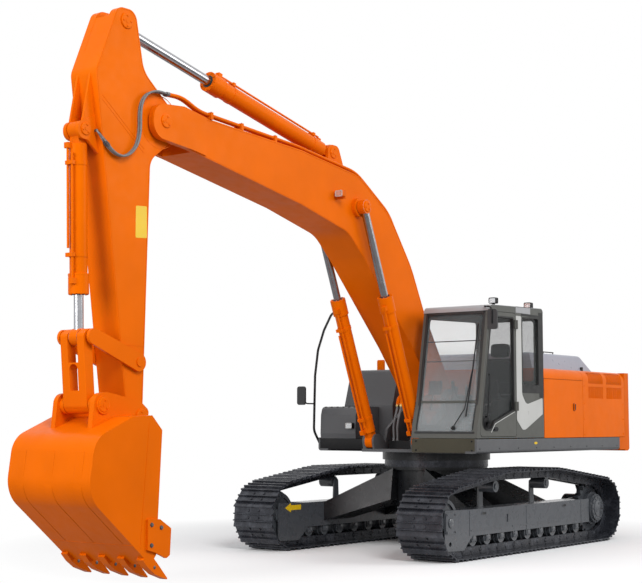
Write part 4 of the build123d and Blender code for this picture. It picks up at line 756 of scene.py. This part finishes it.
def lamp_face(name, x, y, z, body, rim):
    """Bezel and lens of a work lamp that looks forward."""
    case = rectangle((y - 55, y + 55), (z - 40, z + 40), 18)
    inner = grown(case, -11)
    shape = bmesh.new()
    band(shape, case, inner, x, x + 6, "X")
    piece(name + "_bezel", shape, rim, body, 1.5)
    flat_piece(name + "_lens", inner, x, x + 3, "lamp_lens", body, axis="X")


def deck_front():
    """Closed panel under the cab, rounded skirt under the tool box and the plain oval on the skirt."""
    panel = rectangle((492, 1462), (1296, 1480), 18)
    flat_piece("cab_front_panel", panel, 1349, 1376, "deck_paint", eased=5, axis="X")
    shape = bmesh.new()
    for y in (560, 1400):
        for z in (1330, 1446):
            bolt(shape, (1376, y, z), (1, 0, 0), 18)
    piece("cab_panel_bolts", shape, "black_paint")
    skirt = rounded([(740, 1292, 20), (783, 1292, 30), (783, 1470, 26), (757, 1470), (757, 1322, 10), (740, 1322)])
    flat_piece("box_skirt", skirt, -1460, -520, "black_paint", eased=6)
    flat_piece("skirt_oval", oval(-176, 1412, 44, 17), HOUSE_SIDE, HOUSE_SIDE + 1, "yellow_film")


# Cab

def cab_front_x(z):
    """Where the cab's front face lies at a height."""
    steps = ((1484, 1372), (1650, 1352), (1960, 1255), (3205, 1035))
    for (low, x), (high, x2) in zip(steps, steps[1:]):
        if z <= high:
            return x + (x2 - x) * (z - low) / (high - low)
    return steps[-1][1]


DOOR_WINDOW = [(1245, 1590, 110), (1185, 1960, 1200), (975, 3060, 70), (405, 3065, 30), (405, 1850, 30),
               (930, 1690, 90), (1010, 1590, 90)]
QUARTER_WINDOW = [(175, 2180, 40), (175, 3080, 30), (-285, 3100, 40), (-285, 2180, 40)]
RIGHT_WINDOW = [(1215, 1640, 60), (1160, 1960, 1200), (965, 3060, 70), (-305, 3090, 50), (-305, 1850, 50),
                (500, 1850, 200), (760, 1640, 200)]


def cab_gaskets():
    """Black rubber round the windows, and over the front pillars."""
    for name, window, y, out, body in (("door_gasket", DOOR_WINDOW, HOUSE_SIDE, 1, "cab_door"),
                                       ("quarter_gasket", QUARTER_WINDOW, HOUSE_SIDE, 1, "upperstructure"),
                                       ("right_gasket", RIGHT_WINDOW, CAB_INNER_SIDE, -1, "upperstructure")):
        shape = bmesh.new()
        edge = rounded(window, 10)
        band(shape, grown(edge, 13), grown(edge, -9), *sorted((y - 30 * out, y + 4 * out)))
        piece(name, shape, "gasket_rubber", body, 1.5)
    shape = bmesh.new()
    side = rounded([(cab_front_x(1545), 1545), (1255, 1960, 1200), (cab_front_x(3130), 3130)], 10)
    strip = [(x + 3, z) for x, z in side] + [(x - 26, z) for x, z in side][::-1]
    for y in (527, 1402):
        prism(shape, strip, y, y + 32)
    piece("screen_gasket", shape, "gasket_rubber", eased=1.5)
    shape = bmesh.new()
    for low, high in ((1541, 1571), (3098, 3128)):
        x, x2 = cab_front_x(low), cab_front_x(high)
        prism(shape, [(x + 3, low), (x2 + 3, high), (x2 - 24, high), (x - 24, low)], 540, 1421)
    piece("screen_gasket_ends", shape, "gasket_rubber", eased=1.5)


def cab_trim():
    """Roof skin in a lighter grey, partly the roof's own grey and partly a painted sky highlight on its top and edges,
    silver pillar with its wide foot, and the door's hardware.
    """
    # The skin and the rail below carry the roof's grey, lightened as a painted sky highlight.
    roof = rounded([(-419, 3180), (-419, 3243, 62), (1034, 3208.5, 92), (1056, 3128, 0), (1046, 3128, 0),
                    (1024, 3201, 88), (-414, 3236, 58), (-414, 3180)])
    flat_piece("roof_skin", roof, CAB_INNER_SIDE - 3, HOUSE_SIDE + 3, "roof_paint", eased=2)
    pillar = rounded([(340, 3100), (196, 3104, 30), (196, 2060, 110), (80, 1925, 110), (-375, 2020, 20),
                      (-375, 1800, 20), (110, 1592, 160), (190, 1590, 70), (340, 1720, 60)])
    flat_piece("silver_pillar", pillar, HOUSE_SIDE, HOUSE_SIDE + 5, "silver_paint", eased=2)
    rail = [(340, 3142), (340, 3226), (-60, 3233), (-60, 3142)]
    flat_piece("roof_rail", rail, HOUSE_SIDE, HOUSE_SIDE + 3, "roof_paint", eased=1)
    shape = bmesh.new()
    for x, z in (((-413, -296), (2024, 3180)), ((-296, 188), (3110, 3140)), ((-296, 188), (2080, 2172))):
        block(shape, x, (HOUSE_SIDE, HOUSE_SIDE + 2.5), z)
    piece("quarter_panel", shape, "gasket_rubber")
    shape = bmesh.new()
    for ring in (82, 60, 38):
        profile = [(ring, 0), (ring, 7), (ring - 7, 9), (ring - 10, 3)]
        turned(shape, (1132, HOUSE_SIDE + 2, 1672), (0, 1, 0), profile, 36)
    piece("door_vent", shape, "black_paint", "cab_door")
    shape = bmesh.new()
    spots = [(1016, HOUSE_SIDE + 4, 1560), (918, HOUSE_SIDE + 4, 1668), (396, HOUSE_SIDE + 4, 1828)]
    for start, end in zip(spots, spots[1:]):
        bar(shape, start, end, 5)
    piece("door_line", shape, "silver_paint", "cab_door")
    shape = bmesh.new()
    prism(shape, rectangle((842, 968), (1572, 1628), 20), HOUSE_SIDE, HOUSE_SIDE + 6)
    prism(shape, rectangle((858, 952), (1588, 1612), 10), HOUSE_SIDE, HOUSE_SIDE + 20)
    grip = [(1140, 1760), (1060, 2300)]
    bar(shape, *((x, HOUSE_SIDE + 22, z) for x, z in grip), 9)
    for x, z in grip:
        bar(shape, (x, HOUSE_SIDE - 4, z), (x, HOUSE_SIDE + 26, z), 12)
    piece("door_hardware", shape, "black_paint", "cab_door", 1.5)


def cab_wiper():
    """Wiper parked along the left front pillar, and two thin bars behind the glass."""
    shape = bmesh.new()
    steps = [(1120, 1615), (1262, 1860), (1318, 2340)]
    spots = [(cab_front_x(z) + 26, y, z) for y, z in steps]
    turned(shape, (cab_front_x(1615) - 6, 1120, 1615), (1, 0, 0), [(24, 0), (24, 30), (18, 38)], 20)
    for start, end in zip(spots, spots[1:]):
        bar(shape, start, end, 7)
    for low, high in ((1760, 2350), (2350, 2960)):
        ends = [(cab_front_x(z) + 12, 1290 + (z - 1760) * 0.045, z) for z in (low, high)]
        bar(shape, *ends, 9)
    piece("wiper", shape, "black_paint")
    shape = bmesh.new()
    for z in (2480, 2742):
        bar(shape, (cab_front_x(z) - 46, 552, z), (cab_front_x(z) - 46, 1410, z), 7)
    piece("screen_bars", shape, "black_paint")


def pillow(name, centre, size, lean=0.0, seam=True):
    """Crowned cushion with pulled-in corners and a piped seam, in the seat's cloth."""
    shape = bmesh.new()
    rows, columns = 18, 36

    def swell(value):
        """Draws a round section out towards a box."""
        return (1 if value > 0 else -1) * abs(value) ** 0.42

    turn = Matrix.Rotation(lean, 3, "Y")
    middle = place(*centre)
    rings = []
    for row in range(1, rows):
        rise = -pi / 2 + pi * row / rows
        ring = []
        for column in range(columns):
            round_angle = 2 * pi * column / columns
            spot = Vector((swell(cos(rise)) * swell(cos(round_angle)) * size[0] / 2000,
                           swell(cos(rise)) * swell(sin(round_angle)) * size[1] / 2000,
                           swell(sin(rise)) * size[2] / 2000))
            ring.append(shape.verts.new(middle + turn @ spot))
        rings.append(ring)
    skin(shape, rings)
    if seam:
        corners = [rings[rows // 2 - 1][index].co.copy() for index in range(0, columns, 2)]
        corners.append(corners[0])
        for start, end in zip(corners, corners[1:]):
            ends = [((spot.x - SWING_X) * 1000, spot.y * 1000, spot.z * 1000) for spot in (start, end)]
            bar(shape, *ends, 5, 8)
    thing = piece(name, shape, "seat_cloth")
    return thing


def cab_inside():
    """Seat, consoles with levers, travel levers, monitor and rear shelf."""
    shape = bmesh.new()
    box = rounded([(-40, CAB_FLOOR), (500, CAB_FLOOR), (470, 1700, 40), (520, 1790, 20), (-60, 1790, 20)])
    prism(shape, box, SEAT_MIDDLE - 215, SEAT_MIDDLE + 215)
    back = rounded([(-95, 1780, 30), (-30, 1780), (-95, 2560, 20), (-170, 2560, 30)])
    prism(shape, back, SEAT_MIDDLE - 205, SEAT_MIDDLE + 205)
    for y in (SEAT_MIDDLE - 50, SEAT_MIDDLE + 50):
        bar(shape, (-120, y, 2540), (-128, y, 2600), 7)
    base = piece("seat_base", shape, "seat_plastic", eased=10)
    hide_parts("cab_seat")
    pillow("seat_cushion", (240, SEAT_MIDDLE, 1862), (600, 480, 150))
    pillow("seat_back", (-58, SEAT_MIDDLE, 2215), (150, 460, 640), radians(-6))
    pillow("head_rest", (-112, SEAT_MIDDLE, 2668), (110, 270, 190), radians(-4))
    shape = bmesh.new()
    console = rounded([(80, CAB_FLOOR), (560, CAB_FLOOR), (640, 1700, 60), (640, 1950, 80), (540, 2005, 40),
                       (80, 2005, 40)])
    for y in ((560, 700), (1250, 1370)):
        prism(shape, console, *y)
    piece("consoles", shape, "console_plastic", eased=14)
    shape = bmesh.new()
    for y in (630, 1310):
        turned(shape, (540, y, 2000), (0.12, 0, 1), [(44, 0), (40, 20), (24, 60), (13, 74), (13, 120)], 20)
        turned(shape, (554, y, 2118), (0.12, 0, 1), [(15, 0), (24, 20), (22, 80), (27, 110), (18, 128)], 20)
    for y in (900, 1060):
        bar(shape, (1010, y, CAB_FLOOR), (930, y, 2060), 11)
        turned(shape, (930, y, 2055), (-0.1, 0, 1), [(14, 0), (20, 14), (20, 90), (12, 104)], 16)
        prism(shape, [(960, 1540), (1120, 1600), (1118, 1614), (956, 1556)], y - 45, y + 45)
    bar(shape, (1100, 610, 1850), (1060, 630, 2080), 14)
    prism(shape, rounded([(1035, 2050, 10), (1075, 2050, 10), (1045, 2230, 10), (1005, 2230, 10)]), 560, 740)
    piece("levers", shape, "seat_plastic", eased=2)
    for name, y in (("right", 630), ("left", 1310)):
        pillow("arm_rest_" + name, (270, y, 2032), (330, 96, 60), 0.0, False)
    shape = bmesh.new()
    shelf = rounded([(-362, CAB_FLOOR), (-190, CAB_FLOOR), (-190, 2080, 60), (-362, 2160, 20)])
    prism(shape, shelf, 560, 1400)
    block(shape, (-355, 1240), (545, 1415), (CAB_FLOOR - 2, CAB_FLOOR + 6))
    piece("rear_shelf", shape, "console_plastic", eased=10)


def mirror_glasses():
    for name, (x, y, z) in (("cab", (1070, 1545, 3010)), ("side", (1120, -1520, 2060))):
        case = rectangle((y - 60, y + 60), (z - 120, z + 120), 30)
        flat_piece(name + "_mirror_glass", case, x - 18, x - 15, "mirror_glass", axis="X")


# Boom, arm and bucket

BOOM_OUTLINE = [(-15, 1920, 150), (30, 2170, 150), (728, 3211), (1020, 3765, 1500), (1500, 4380, 1300),
                (2230, 4840, 700), (3446, 4985, 900), (5290, 5075), (5560, 5130), (5560, 4690), (3443, 4318, 700),
                (2470, 4085, 500), (2130, 3790, 500), (1016, 2695), (654, 2290), (300, 1830, 130)]
ARM_OUTLINE = (beyond(BOOM_TIP, [(382, 1143, 125), (652, 1133, 125), (947, 393, 160), (837, -357, 700)])
               + beyond(BUCKET_PIN, [(117, 145, 200), (118, -118, 105), (-122, -118, 105), (-136, 165, 0)])
               + beyond(BOOM_TIP, [(132, -437, 200), (-190, -190, 180), (-190, 170, 170), (247, 513, 300)]))


def weld_bead(name, outline, half, body):
    """Bead where a box's side plates meet its top and bottom plates."""
    shape = bmesh.new()
    edge = rounded(outline, 10)
    for side in (-1, 1):
        band(shape, grown(edge, -11), grown(edge, -18), *levels(side, half, half + 3))
    piece(name, shape, "orange_paint", body, 1.2)


# Caps over the pins: x and z, face across the machine, radius, thickness, bolts, body
PIN_CAPS = {
    "boom_foot_cap": (BOOM_FOOT, 354, 88, 12, 4, "upperstructure"),
    "boom_tip_cap": (BOOM_TIP, 292, 74, 15, 3, "boom"),
    "arm_foot_cap": (ARM_FOOT, 116, 72, 12, 3, "boom"),
    "arm_eye_cap": (ARM_EYE, 190, 84, 16, 4, "arm"),
    "bucket_foot_cap": (BUCKET_FOOT, 112, 66, 13, 3, "arm"),
    "bucket_pin_cap": (BUCKET_PIN, 300, 78, 18, 4, "bucket"),
    "link_pin_cap": (BUCKET_LINK_PIN, 318, 74, 8, 3, "bucket"),
}


def pin_caps():
    for name, ((x, z), face, radius, thick, count, body) in PIN_CAPS.items():
        shape = bmesh.new()
        for side in (-1, 1):
            centre, axis = (x, side * face, z), (0, side, 0)
            turned(shape, centre, axis, [(radius, 0), (radius, thick - 4), (radius - 5, thick)], 36)
            turned(shape, centre, axis, [(radius * 0.3, thick), (radius * 0.3, thick + 4)], 20)
            bolts_round(shape, (x, side * (face + thick), z), axis, radius * 0.66, count, 20)
        piece(name, shape, "orange_paint", body)


# Covers over the rods' eyes: x and z, middle across the machine, half width, radius, body
ROD_EYES = {
    "boom_rod_eye_left": (BOOM_CYLINDER_EYE, BOOM_CYLINDERS, 51, 90, "boom_cylinder_rods"),
    "boom_rod_eye_right": (BOOM_CYLINDER_EYE, -BOOM_CYLINDERS, 51, 90, "boom_cylinder_rods"),
    "arm_rod_eye": (ARM_EYE, 0, 71, 107, "arm_cylinder_rod"),
    "bucket_rod_eye": (LINK_PIN, 0, 61, 90, "bucket_cylinder_rod"),
}


def rod_eyes():
    """Painted bosses of the rods' eyes, with a cap on the boom cylinders' outer side."""
    for name, ((x, z), across, half, radius, body) in ROD_EYES.items():
        shape = bmesh.new()
        profile = [(radius - 5, 0), (radius, 5), (radius, 2 * half - 5), (radius - 5, 2 * half)]
        turned(shape, (x, across - half, z), (0, 1, 0), profile, 40)
        if across:
            side = 1 if across > 0 else -1
            face = across + side * half
            turned(shape, (x, face, z), (0, side, 0), [(66, 0), (66, 9), (60, 13)], 32)
            bolts_round(shape, (x, face + side * 13, z), (0, side, 0), 40, 3, 20)
        piece(name, shape, "orange_paint", body)


def boom_details():
    """Weld beads, bolts of the pipes' clamps, and the elbows at the boom's foot with their nuts."""
    weld_bead("boom_weld", BOOM_OUTLINE, BOOM_HALF, "boom")
    shape = bmesh.new()
    for share in (0.25, 0.6, 0.9):
        x, z = 3446 + (5290 - 3446) * share, 4985 + (5075 - 4985) * share
        flare = share * 68
        for y in (136 + flare, 214 + flare):
            for side in (-1, 1):
                bolt(shape, (x, side * y, z + 83), (0, 0, 1), 14)
    piece("clamp_bolts", shape, "bare_steel", "boom")
    for side, name in SIDES:
        for index, row in enumerate(FOOT_HOSES[2:]):
            y = side * row
            route = [(682, y, 1925), (670, y, 1985), (640, y, 2040), (560, y, 2062), (455, y, 2055)]
            hose("boom_elbow_%s_%d" % (name, index), route, 25, "orange_paint", "boom")
    shape = bmesh.new()
    for y in FOOT_HOSES:
        turned(shape, (686, y, 1902), (-0.16, 0, 1), [(29, 0), (29, 16), (25, 20), (25, 38)], 6)
    piece("elbow_nuts", shape, "brass", "boom")


def boom_hoses():
    """Hoses from the deck's block up to the elbows, those from the boom's pipes over the joint, and their ends."""
    for index, y in enumerate(FOOT_HOSES):
        route = [(770, y, 1440), (770, y, 1500), (778, y * 1.03, 1590), (752, y * 1.05, 1700), (716, y * 1.03, 1800),
                 (694, y, 1862), (684, y, 1915)]
        thing = hose("foot_hose_%d" % index, route, 17, "grey_hose")
        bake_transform(thing)
        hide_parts("boom_foot_hoses")
    for index, (y, spread) in enumerate(zip(BOOM_PIPES, (0, 6))):
        path = beyond(BOOM_TIP, [(-53, 311), (60, 318 + spread), (200, 300 + spread), (318 + spread, 190),
                                 (350 + spread, 30), (335 + spread, -130), (372 + spread, -330), (520, -458),
                                 (650, -480 - spread), (757, -430 - spread), (822, -368 - spread)])
        leans = [0] * (len(path) - 2) + [6, 10]
        route = [(x, y - lean, z) for (x, z), lean in zip(path, leans)]
        thing = hose("arm_hose_%d" % index, route, 12, "grey_hose")
        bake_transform(thing)
        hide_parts("arm_hoses")
    shape = bmesh.new()
    for side in (-1, 1):
        for y in BOOM_PIPES:
            turned(shape, (5778, side * y, 5229), (1, 0, 0), [(26, 0), (26, 18), (23, 22), (23, 40)], 6)
    piece("pipe_nuts_boom", shape, "bare_steel", "boom")
    shape = bmesh.new()
    for y in FOOT_HOSES:
        turned(shape, (770, y, 1438), (0, 0, 1), [(28, 0), (28, 16), (24, 20), (24, 36)], 6)
    piece("pipe_nuts_deck", shape, "bare_steel")
    shape = bmesh.new()
    for y, spread in ((208, 0), (248, 6)):
        (x, z), (ahead, above) = beyond(BOOM_TIP, [(800, -388 - spread), (905, -290 - spread)])
        turned(shape, (x, y, z), (ahead - x, 0, above - z), [(17, 0), (17, 34), (13, 38), (13, 60)], 6)
        bend = (ahead - 20, 150, above + 60)
        bar(shape, (x + 40, y, z + 37), bend, 11)
        bar(shape, bend, (ahead - 30, 112, above + 62), 11)
    piece("arm_hose_ends", shape, "bare_steel", "arm")


def arm_details():
    """Weld beads and seams, the bare yellow plate, and the closing plate and gussets at the arm's front."""
    weld_bead("arm_weld", ARM_OUTLINE, ARM_HALF, "arm")
    label = rounded([(6193, 3620, 14), (6193, 3962, 14), (6028, 3974, 14), (6022, 3632, 14)])
    flat_piece("arm_plate", label, ARM_HALF, ARM_HALF + 2, "yellow_film", "arm")
    shape = bmesh.new()
    ring = oval(*BOOM_TIP, 292, 292, 64)
    seams = [[(6048, 2478), (6394, 2478), (6396, 2488), (6048, 2488)]]
    for lift in (0, 46):
        seams.append([(6700, 5020 + lift), (6075, 4545 + lift), (6081, 4537 + lift), (6706, 5012 + lift)])
    for side in (-1, 1):
        for seam in seams:
            prism(shape, seam, *levels(side, ARM_HALF, ARM_HALF + 3))
        band(shape, ring, grown(ring, -7), *levels(side, ARM_HALF, ARM_HALF + 3))
    piece("arm_seam", shape, "orange_paint", "arm")
    shape = bmesh.new()
    low, high = (6800, 5310), (6505, 6050)
    way = (-0.3703, 0.9289)
    face = [(low[0] + (high[0] - low[0]) * share - 2, low[1] + (high[1] - low[1]) * share) for share in (0.30, 0.88)]
    back = [(x - way[1] * 16, z + way[0] * 16) for x, z in face[::-1]]
    prism(shape, face + back, -101, 101)
    for y in (-106, 78):
        prism(shape, [(6796, 5290), (6896, 4766), (6710, 4700), (6696, 4800)], y, y + 28)
    piece("arm_front_plates", shape, "orange_paint", "arm", 2)


def on_lip(ahead, above):
    """Point ahead of the bucket's lip and above its underside."""
    back, edge = beyond(BUCKET_PIN, LIP)
    length = hypot(edge[0] - back[0], edge[1] - back[1])
    way = ((edge[0] - back[0]) / length, (edge[1] - back[1]) / length)
    return (edge[0] + way[0] * ahead + way[1] * above, edge[1] + way[1] * ahead - way[0] * above)


def bucket_details():
    """Wear straps round the shell, pins of the teeth, and bolts of the side cutters."""
    profile = rounded(beyond(BUCKET_PIN, [(142, 15), (412, 0, 120), (932, -215, 260), (1012, -775, 330),
                                          (402, -1275), (142, -1490), (-8, -135)]), 10)
    widest = max(x for x, z in profile)
    outer = [(min(x, widest - 1.4), z) for x, z in grown(profile, 3)]
    profile = [(min(x, widest - 4), z) for x, z in profile]
    ends = [index for index, point in enumerate(profile) if point[1] < BUCKET_PIN[1] - 330 and
            point[0] > BUCKET_PIN[0] + 300]
    run = range(ends[0], ends[-1] + 1)
    strap = [profile[index] for index in run] + [outer[index] for index in reversed(run)]
    shape = bmesh.new()
    for y in (-420, 0, 420):
        prism(shape, strap, y - 55, y + 55)
    piece("wear_straps", shape, "orange_paint", "bucket", 2)
    shape = bmesh.new()
    prism(shape, [on_lip(-330, -2), on_lip(-318, -2), on_lip(-318, 8), on_lip(-330, 8)], -590, 590)
    edge = beyond(BUCKET_PIN, [(178, -60), (186, -60), (296, -1310), (288, -1310)])
    for side in (-1, 1):
        prism(shape, edge, *levels(side, 600, 603))
    piece("bucket_seams", shape, "orange_paint", "bucket")
    shape = bmesh.new()
    x, z = on_lip(62, 17)
    for y in range(-552, 553, 276):
        for side in (-1, 1):
            turned(shape, (x, y + side * 46, z), (0, side, 0), [(17, 0), (17, 5), (13, 7)], 16)
    piece("tooth_pins", shape, "bare_steel", "bucket")
    shape = bmesh.new()
    for side in (-1, 1):
        for x, z in beyond(BUCKET_PIN, [(160, -1085), (20, -1120), (160, -1290)]):
            bolt(shape, (x, side * 628, z), (0, side, 0), 34)
    piece("cutter_bolts", shape, "bare_steel", "bucket")


# Cylinders: foot and eye, place across, barrel and rod radius, rod that shows, side of the pipes, body of the barrel
BOOM_CYLINDER = (87.5, 50, 1207, -1, "boom_cylinder_barrels")
CYLINDERS = {
    "boom_cylinder_left": (BOOM_CYLINDER_FOOT, BOOM_CYLINDER_EYE, BOOM_CYLINDERS, *BOOM_CYLINDER),
    "boom_cylinder_right": (BOOM_CYLINDER_FOOT, BOOM_CYLINDER_EYE, -BOOM_CYLINDERS, *BOOM_CYLINDER),
    "arm_cylinder": (ARM_FOOT, ARM_EYE, 0, 104, 57.5, 1547, 1, "arm_cylinder_barrel"),
    "bucket_cylinder": (BUCKET_FOOT, LINK_PIN, 0, 92, 50, 439, 1, "bucket_cylinder_barrel"),
}


def cylinder_details(name, foot, eye, across, radius, rod, shown, side, body):
    """Gland bolts and wiper, bands, port blocks and pipes of a cylinder's barrel."""
    reach = hypot(eye[0] - foot[0], eye[1] - foot[1])
    way = ((eye[0] - foot[0]) / reach, (eye[1] - foot[1]) / reach)
    end = reach - shown
    axis = (way[0], 0, way[1])
    shape = bmesh.new()

    def at(run, y, rise):
        return (foot[0] + way[0] * run - way[1] * rise, across + y, foot[1] + way[1] * run + way[0] * rise)

    def box(start, stop, low, high, y, half):
        """Adds a block on the barrel, between runs along it and heights over its skin."""
        corners = [at(run, 0, side * (radius + over)) for run, over in
                   ((start, low), (stop, low), (stop, high), (start, high))]
        prism(shape, [(x, z) for x, _, z in corners], across + y - half, across + y + half)

    bolts_round(shape, at(end, 0, 0), axis, radius - 2, 10, 20)
    turned(shape, at(end - 212, 0, 0), axis, [(radius + 4, 0), (radius + 17, 8), (radius + 17, 20)], 40)
    for run in (330, end - 420):
        turned(shape, at(run, 0, 0), axis, [(radius + 5, 0), (radius + 5, 42)], 40)
        box(run, run + 42, 0, 42, 0, 52)
    for run, y in ((170, -32), (end - 130, 32)):
        box(run - 30, run + 30, -4, 46, y, 30)
    piece(name + "_fittings", shape, "orange_paint", body, 2)
    shape = bmesh.new()
    for y, low, high in ((-32, 170, end - 470), (32, 250, end - 130)):
        bar(shape, at(low, y, side * (radius + 22)), at(high, y, side * (radius + 22)), 13)
    piece(name + "_pipes", shape, "orange_paint", body)
    shape = bmesh.new()
    turned(shape, at(end, 0, 0), axis, [(rod + 16, 0), (rod + 16, 5), (rod + 2, 9)], 32)
    piece(name + "_seal", shape, "gasket_rubber", body)


# Camera and light

def place_camera():
    yaw, pitch, roll = (radians(angle) for angle in (CAMERA_YAW, CAMERA_PITCH, CAMERA_ROLL))
    forward = Vector((cos(yaw) * cos(pitch), sin(yaw) * cos(pitch), sin(pitch)))
    right = Vector((sin(yaw), -cos(yaw), 0))
    up = right.cross(forward)
    right, up = cos(roll) * right + sin(roll) * up, cos(roll) * up - sin(roll) * right
    data = bpy.data.cameras.new("camera")
    data.lens = CAMERA_LENS
    data.sensor_width = 36.0
    data.clip_end = 200.0
    camera = bpy.data.objects.new("camera", data)
    bpy.context.scene.collection.objects.link(camera)
    matrix = Matrix((right, up, -forward)).transposed().to_4x4()
    matrix.translation = Vector(CAMERA_PLACE) + Vector((SWING_X, 0, 0))
    camera.matrix_world = matrix
    bpy.context.scene.camera = camera


def area_light(name, spot, target, size, power):
    data = bpy.data.lights.new(name, "AREA")
    data.shape = "DISK"
    data.size = size
    data.energy = power
    lamp = bpy.data.objects.new(name, data)
    bpy.context.scene.collection.objects.link(lamp)
    lamp.location = spot
    lamp.rotation_euler = (Vector(target) - Vector(spot)).to_track_quat("-Z", "Y").to_euler()


def light_studio():
    """Three soft lamps, and a world that lights dimly but looks white to the camera and in glass and gloss."""
    area_light("key", (10, 14, 13), (0, 0, 2), 8, 2150)
    area_light("fill", (19, -2, 6), (0, 0, 2), 9, 1500)
    area_light("side", (-8, 14, 9), (-2, 0, 1.5), 8, 850)
    world = bpy.data.worlds.new("studio")
    bpy.context.scene.world = world
    world.use_nodes = True
    tree = world.node_tree
    tree.nodes.clear()
    path = new_node(tree, "LightPath", {}).outputs
    seen = path["Is Camera Ray"]
    for name in ("Is Glossy Ray", "Is Transmission Ray"):
        seen = new_node(tree, "Math", {0: seen, 1: path[name]}, operation="MAXIMUM").outputs[0]
    dim = new_node(tree, "Background", {"Color": (0.95, 0.97, 1.0), "Strength": 0.52})
    white = new_node(tree, "Background", {"Color": (1, 1, 1), "Strength": 1.0})
    mixed = new_node(tree, "MixShader", {0: seen, 1: dim.outputs[0], 2: white.outputs[0]})
    new_node(tree, "OutputWorld", {0: mixed.outputs[0]})
    bpy.context.scene.view_settings.view_transform = "Standard"


def lay_floor():
    """Pale floor that fades into the white backdrop away from the machine."""
    mesh = bpy.data.meshes.new("floor")
    size = 60
    corners = [(-size, -size, -0.001), (size, -size, -0.001), (size, size, -0.001), (-size, size, -0.001)]
    mesh.from_pydata(corners, [], [(0, 1, 2, 3)])
    floor = bpy.data.objects.new("floor", mesh)
    bpy.context.scene.collection.objects.link(floor)
    material, tree, shader = new_material("floor")
    feed(shader, {"Base Color": mix_colour(tree, mottle(tree, 0.4), (0.93, 0.93, 0.93), (0.95, 0.95, 0.95)),
                  "Roughness": 0.9})
    middle = new_node(tree, "VectorMath", {0: own_place(tree), 1: (SWING_X, 0.0, 0.0)}, operation="SUBTRACT")
    away = new_node(tree, "VectorMath", {0: middle.outputs["Vector"]}, operation="LENGTH").outputs["Value"]
    seen = new_node(tree, "LightPath", {}).outputs["Is Camera Ray"]
    glow = new_node(tree, "Emission", {"Strength": ramp(tree, seen, dark=0.35)})
    mixed = new_node(tree, "MixShader", {0: ramp(tree, away, 2.9, 6.2), 1: shader.outputs[0], 2: glow.outputs[0]})
    feed(tree.nodes["Material Output"], {"Surface": mixed.outputs[0]})
    mesh.materials.append(material)


# Faces of the work lamps: x, y and z of the middle, body, material of the bezel
LAMPS = {
    "box_lamp": (842.6, -905, 1640, "upperstructure", "silver_paint"),
    "roof_lamp": (760, 1364, 3280.3, "upperstructure", "black_paint"),
    "rear_lamp": (-190, 1364, 3280.3, "upperstructure", "black_paint"),
    "boom_lamp": (2790, 355, 4530, "boom", "silver_paint"),
}

dress_nodes()
place_camera()
light_studio()
lay_floor()

for side, name in SIDES:
    for details in (track_details, frame_details, motor_details, grille_shade_sheet, grille_slats, panel_details,
                    door_handle):
        details(side, name)
track_arrow()
hood_details()
tank_details()
deck_front()
for name, row in LAMPS.items():
    lamp_face(name, *row)
cab_gaskets()
cab_trim()
cab_wiper()
cab_inside()
mirror_glasses()
pin_caps()
rod_eyes()
boom_details()
boom_hoses()
arm_details()
bucket_details()
for name, row in CYLINDERS.items():
    cylinder_details(name, *row)
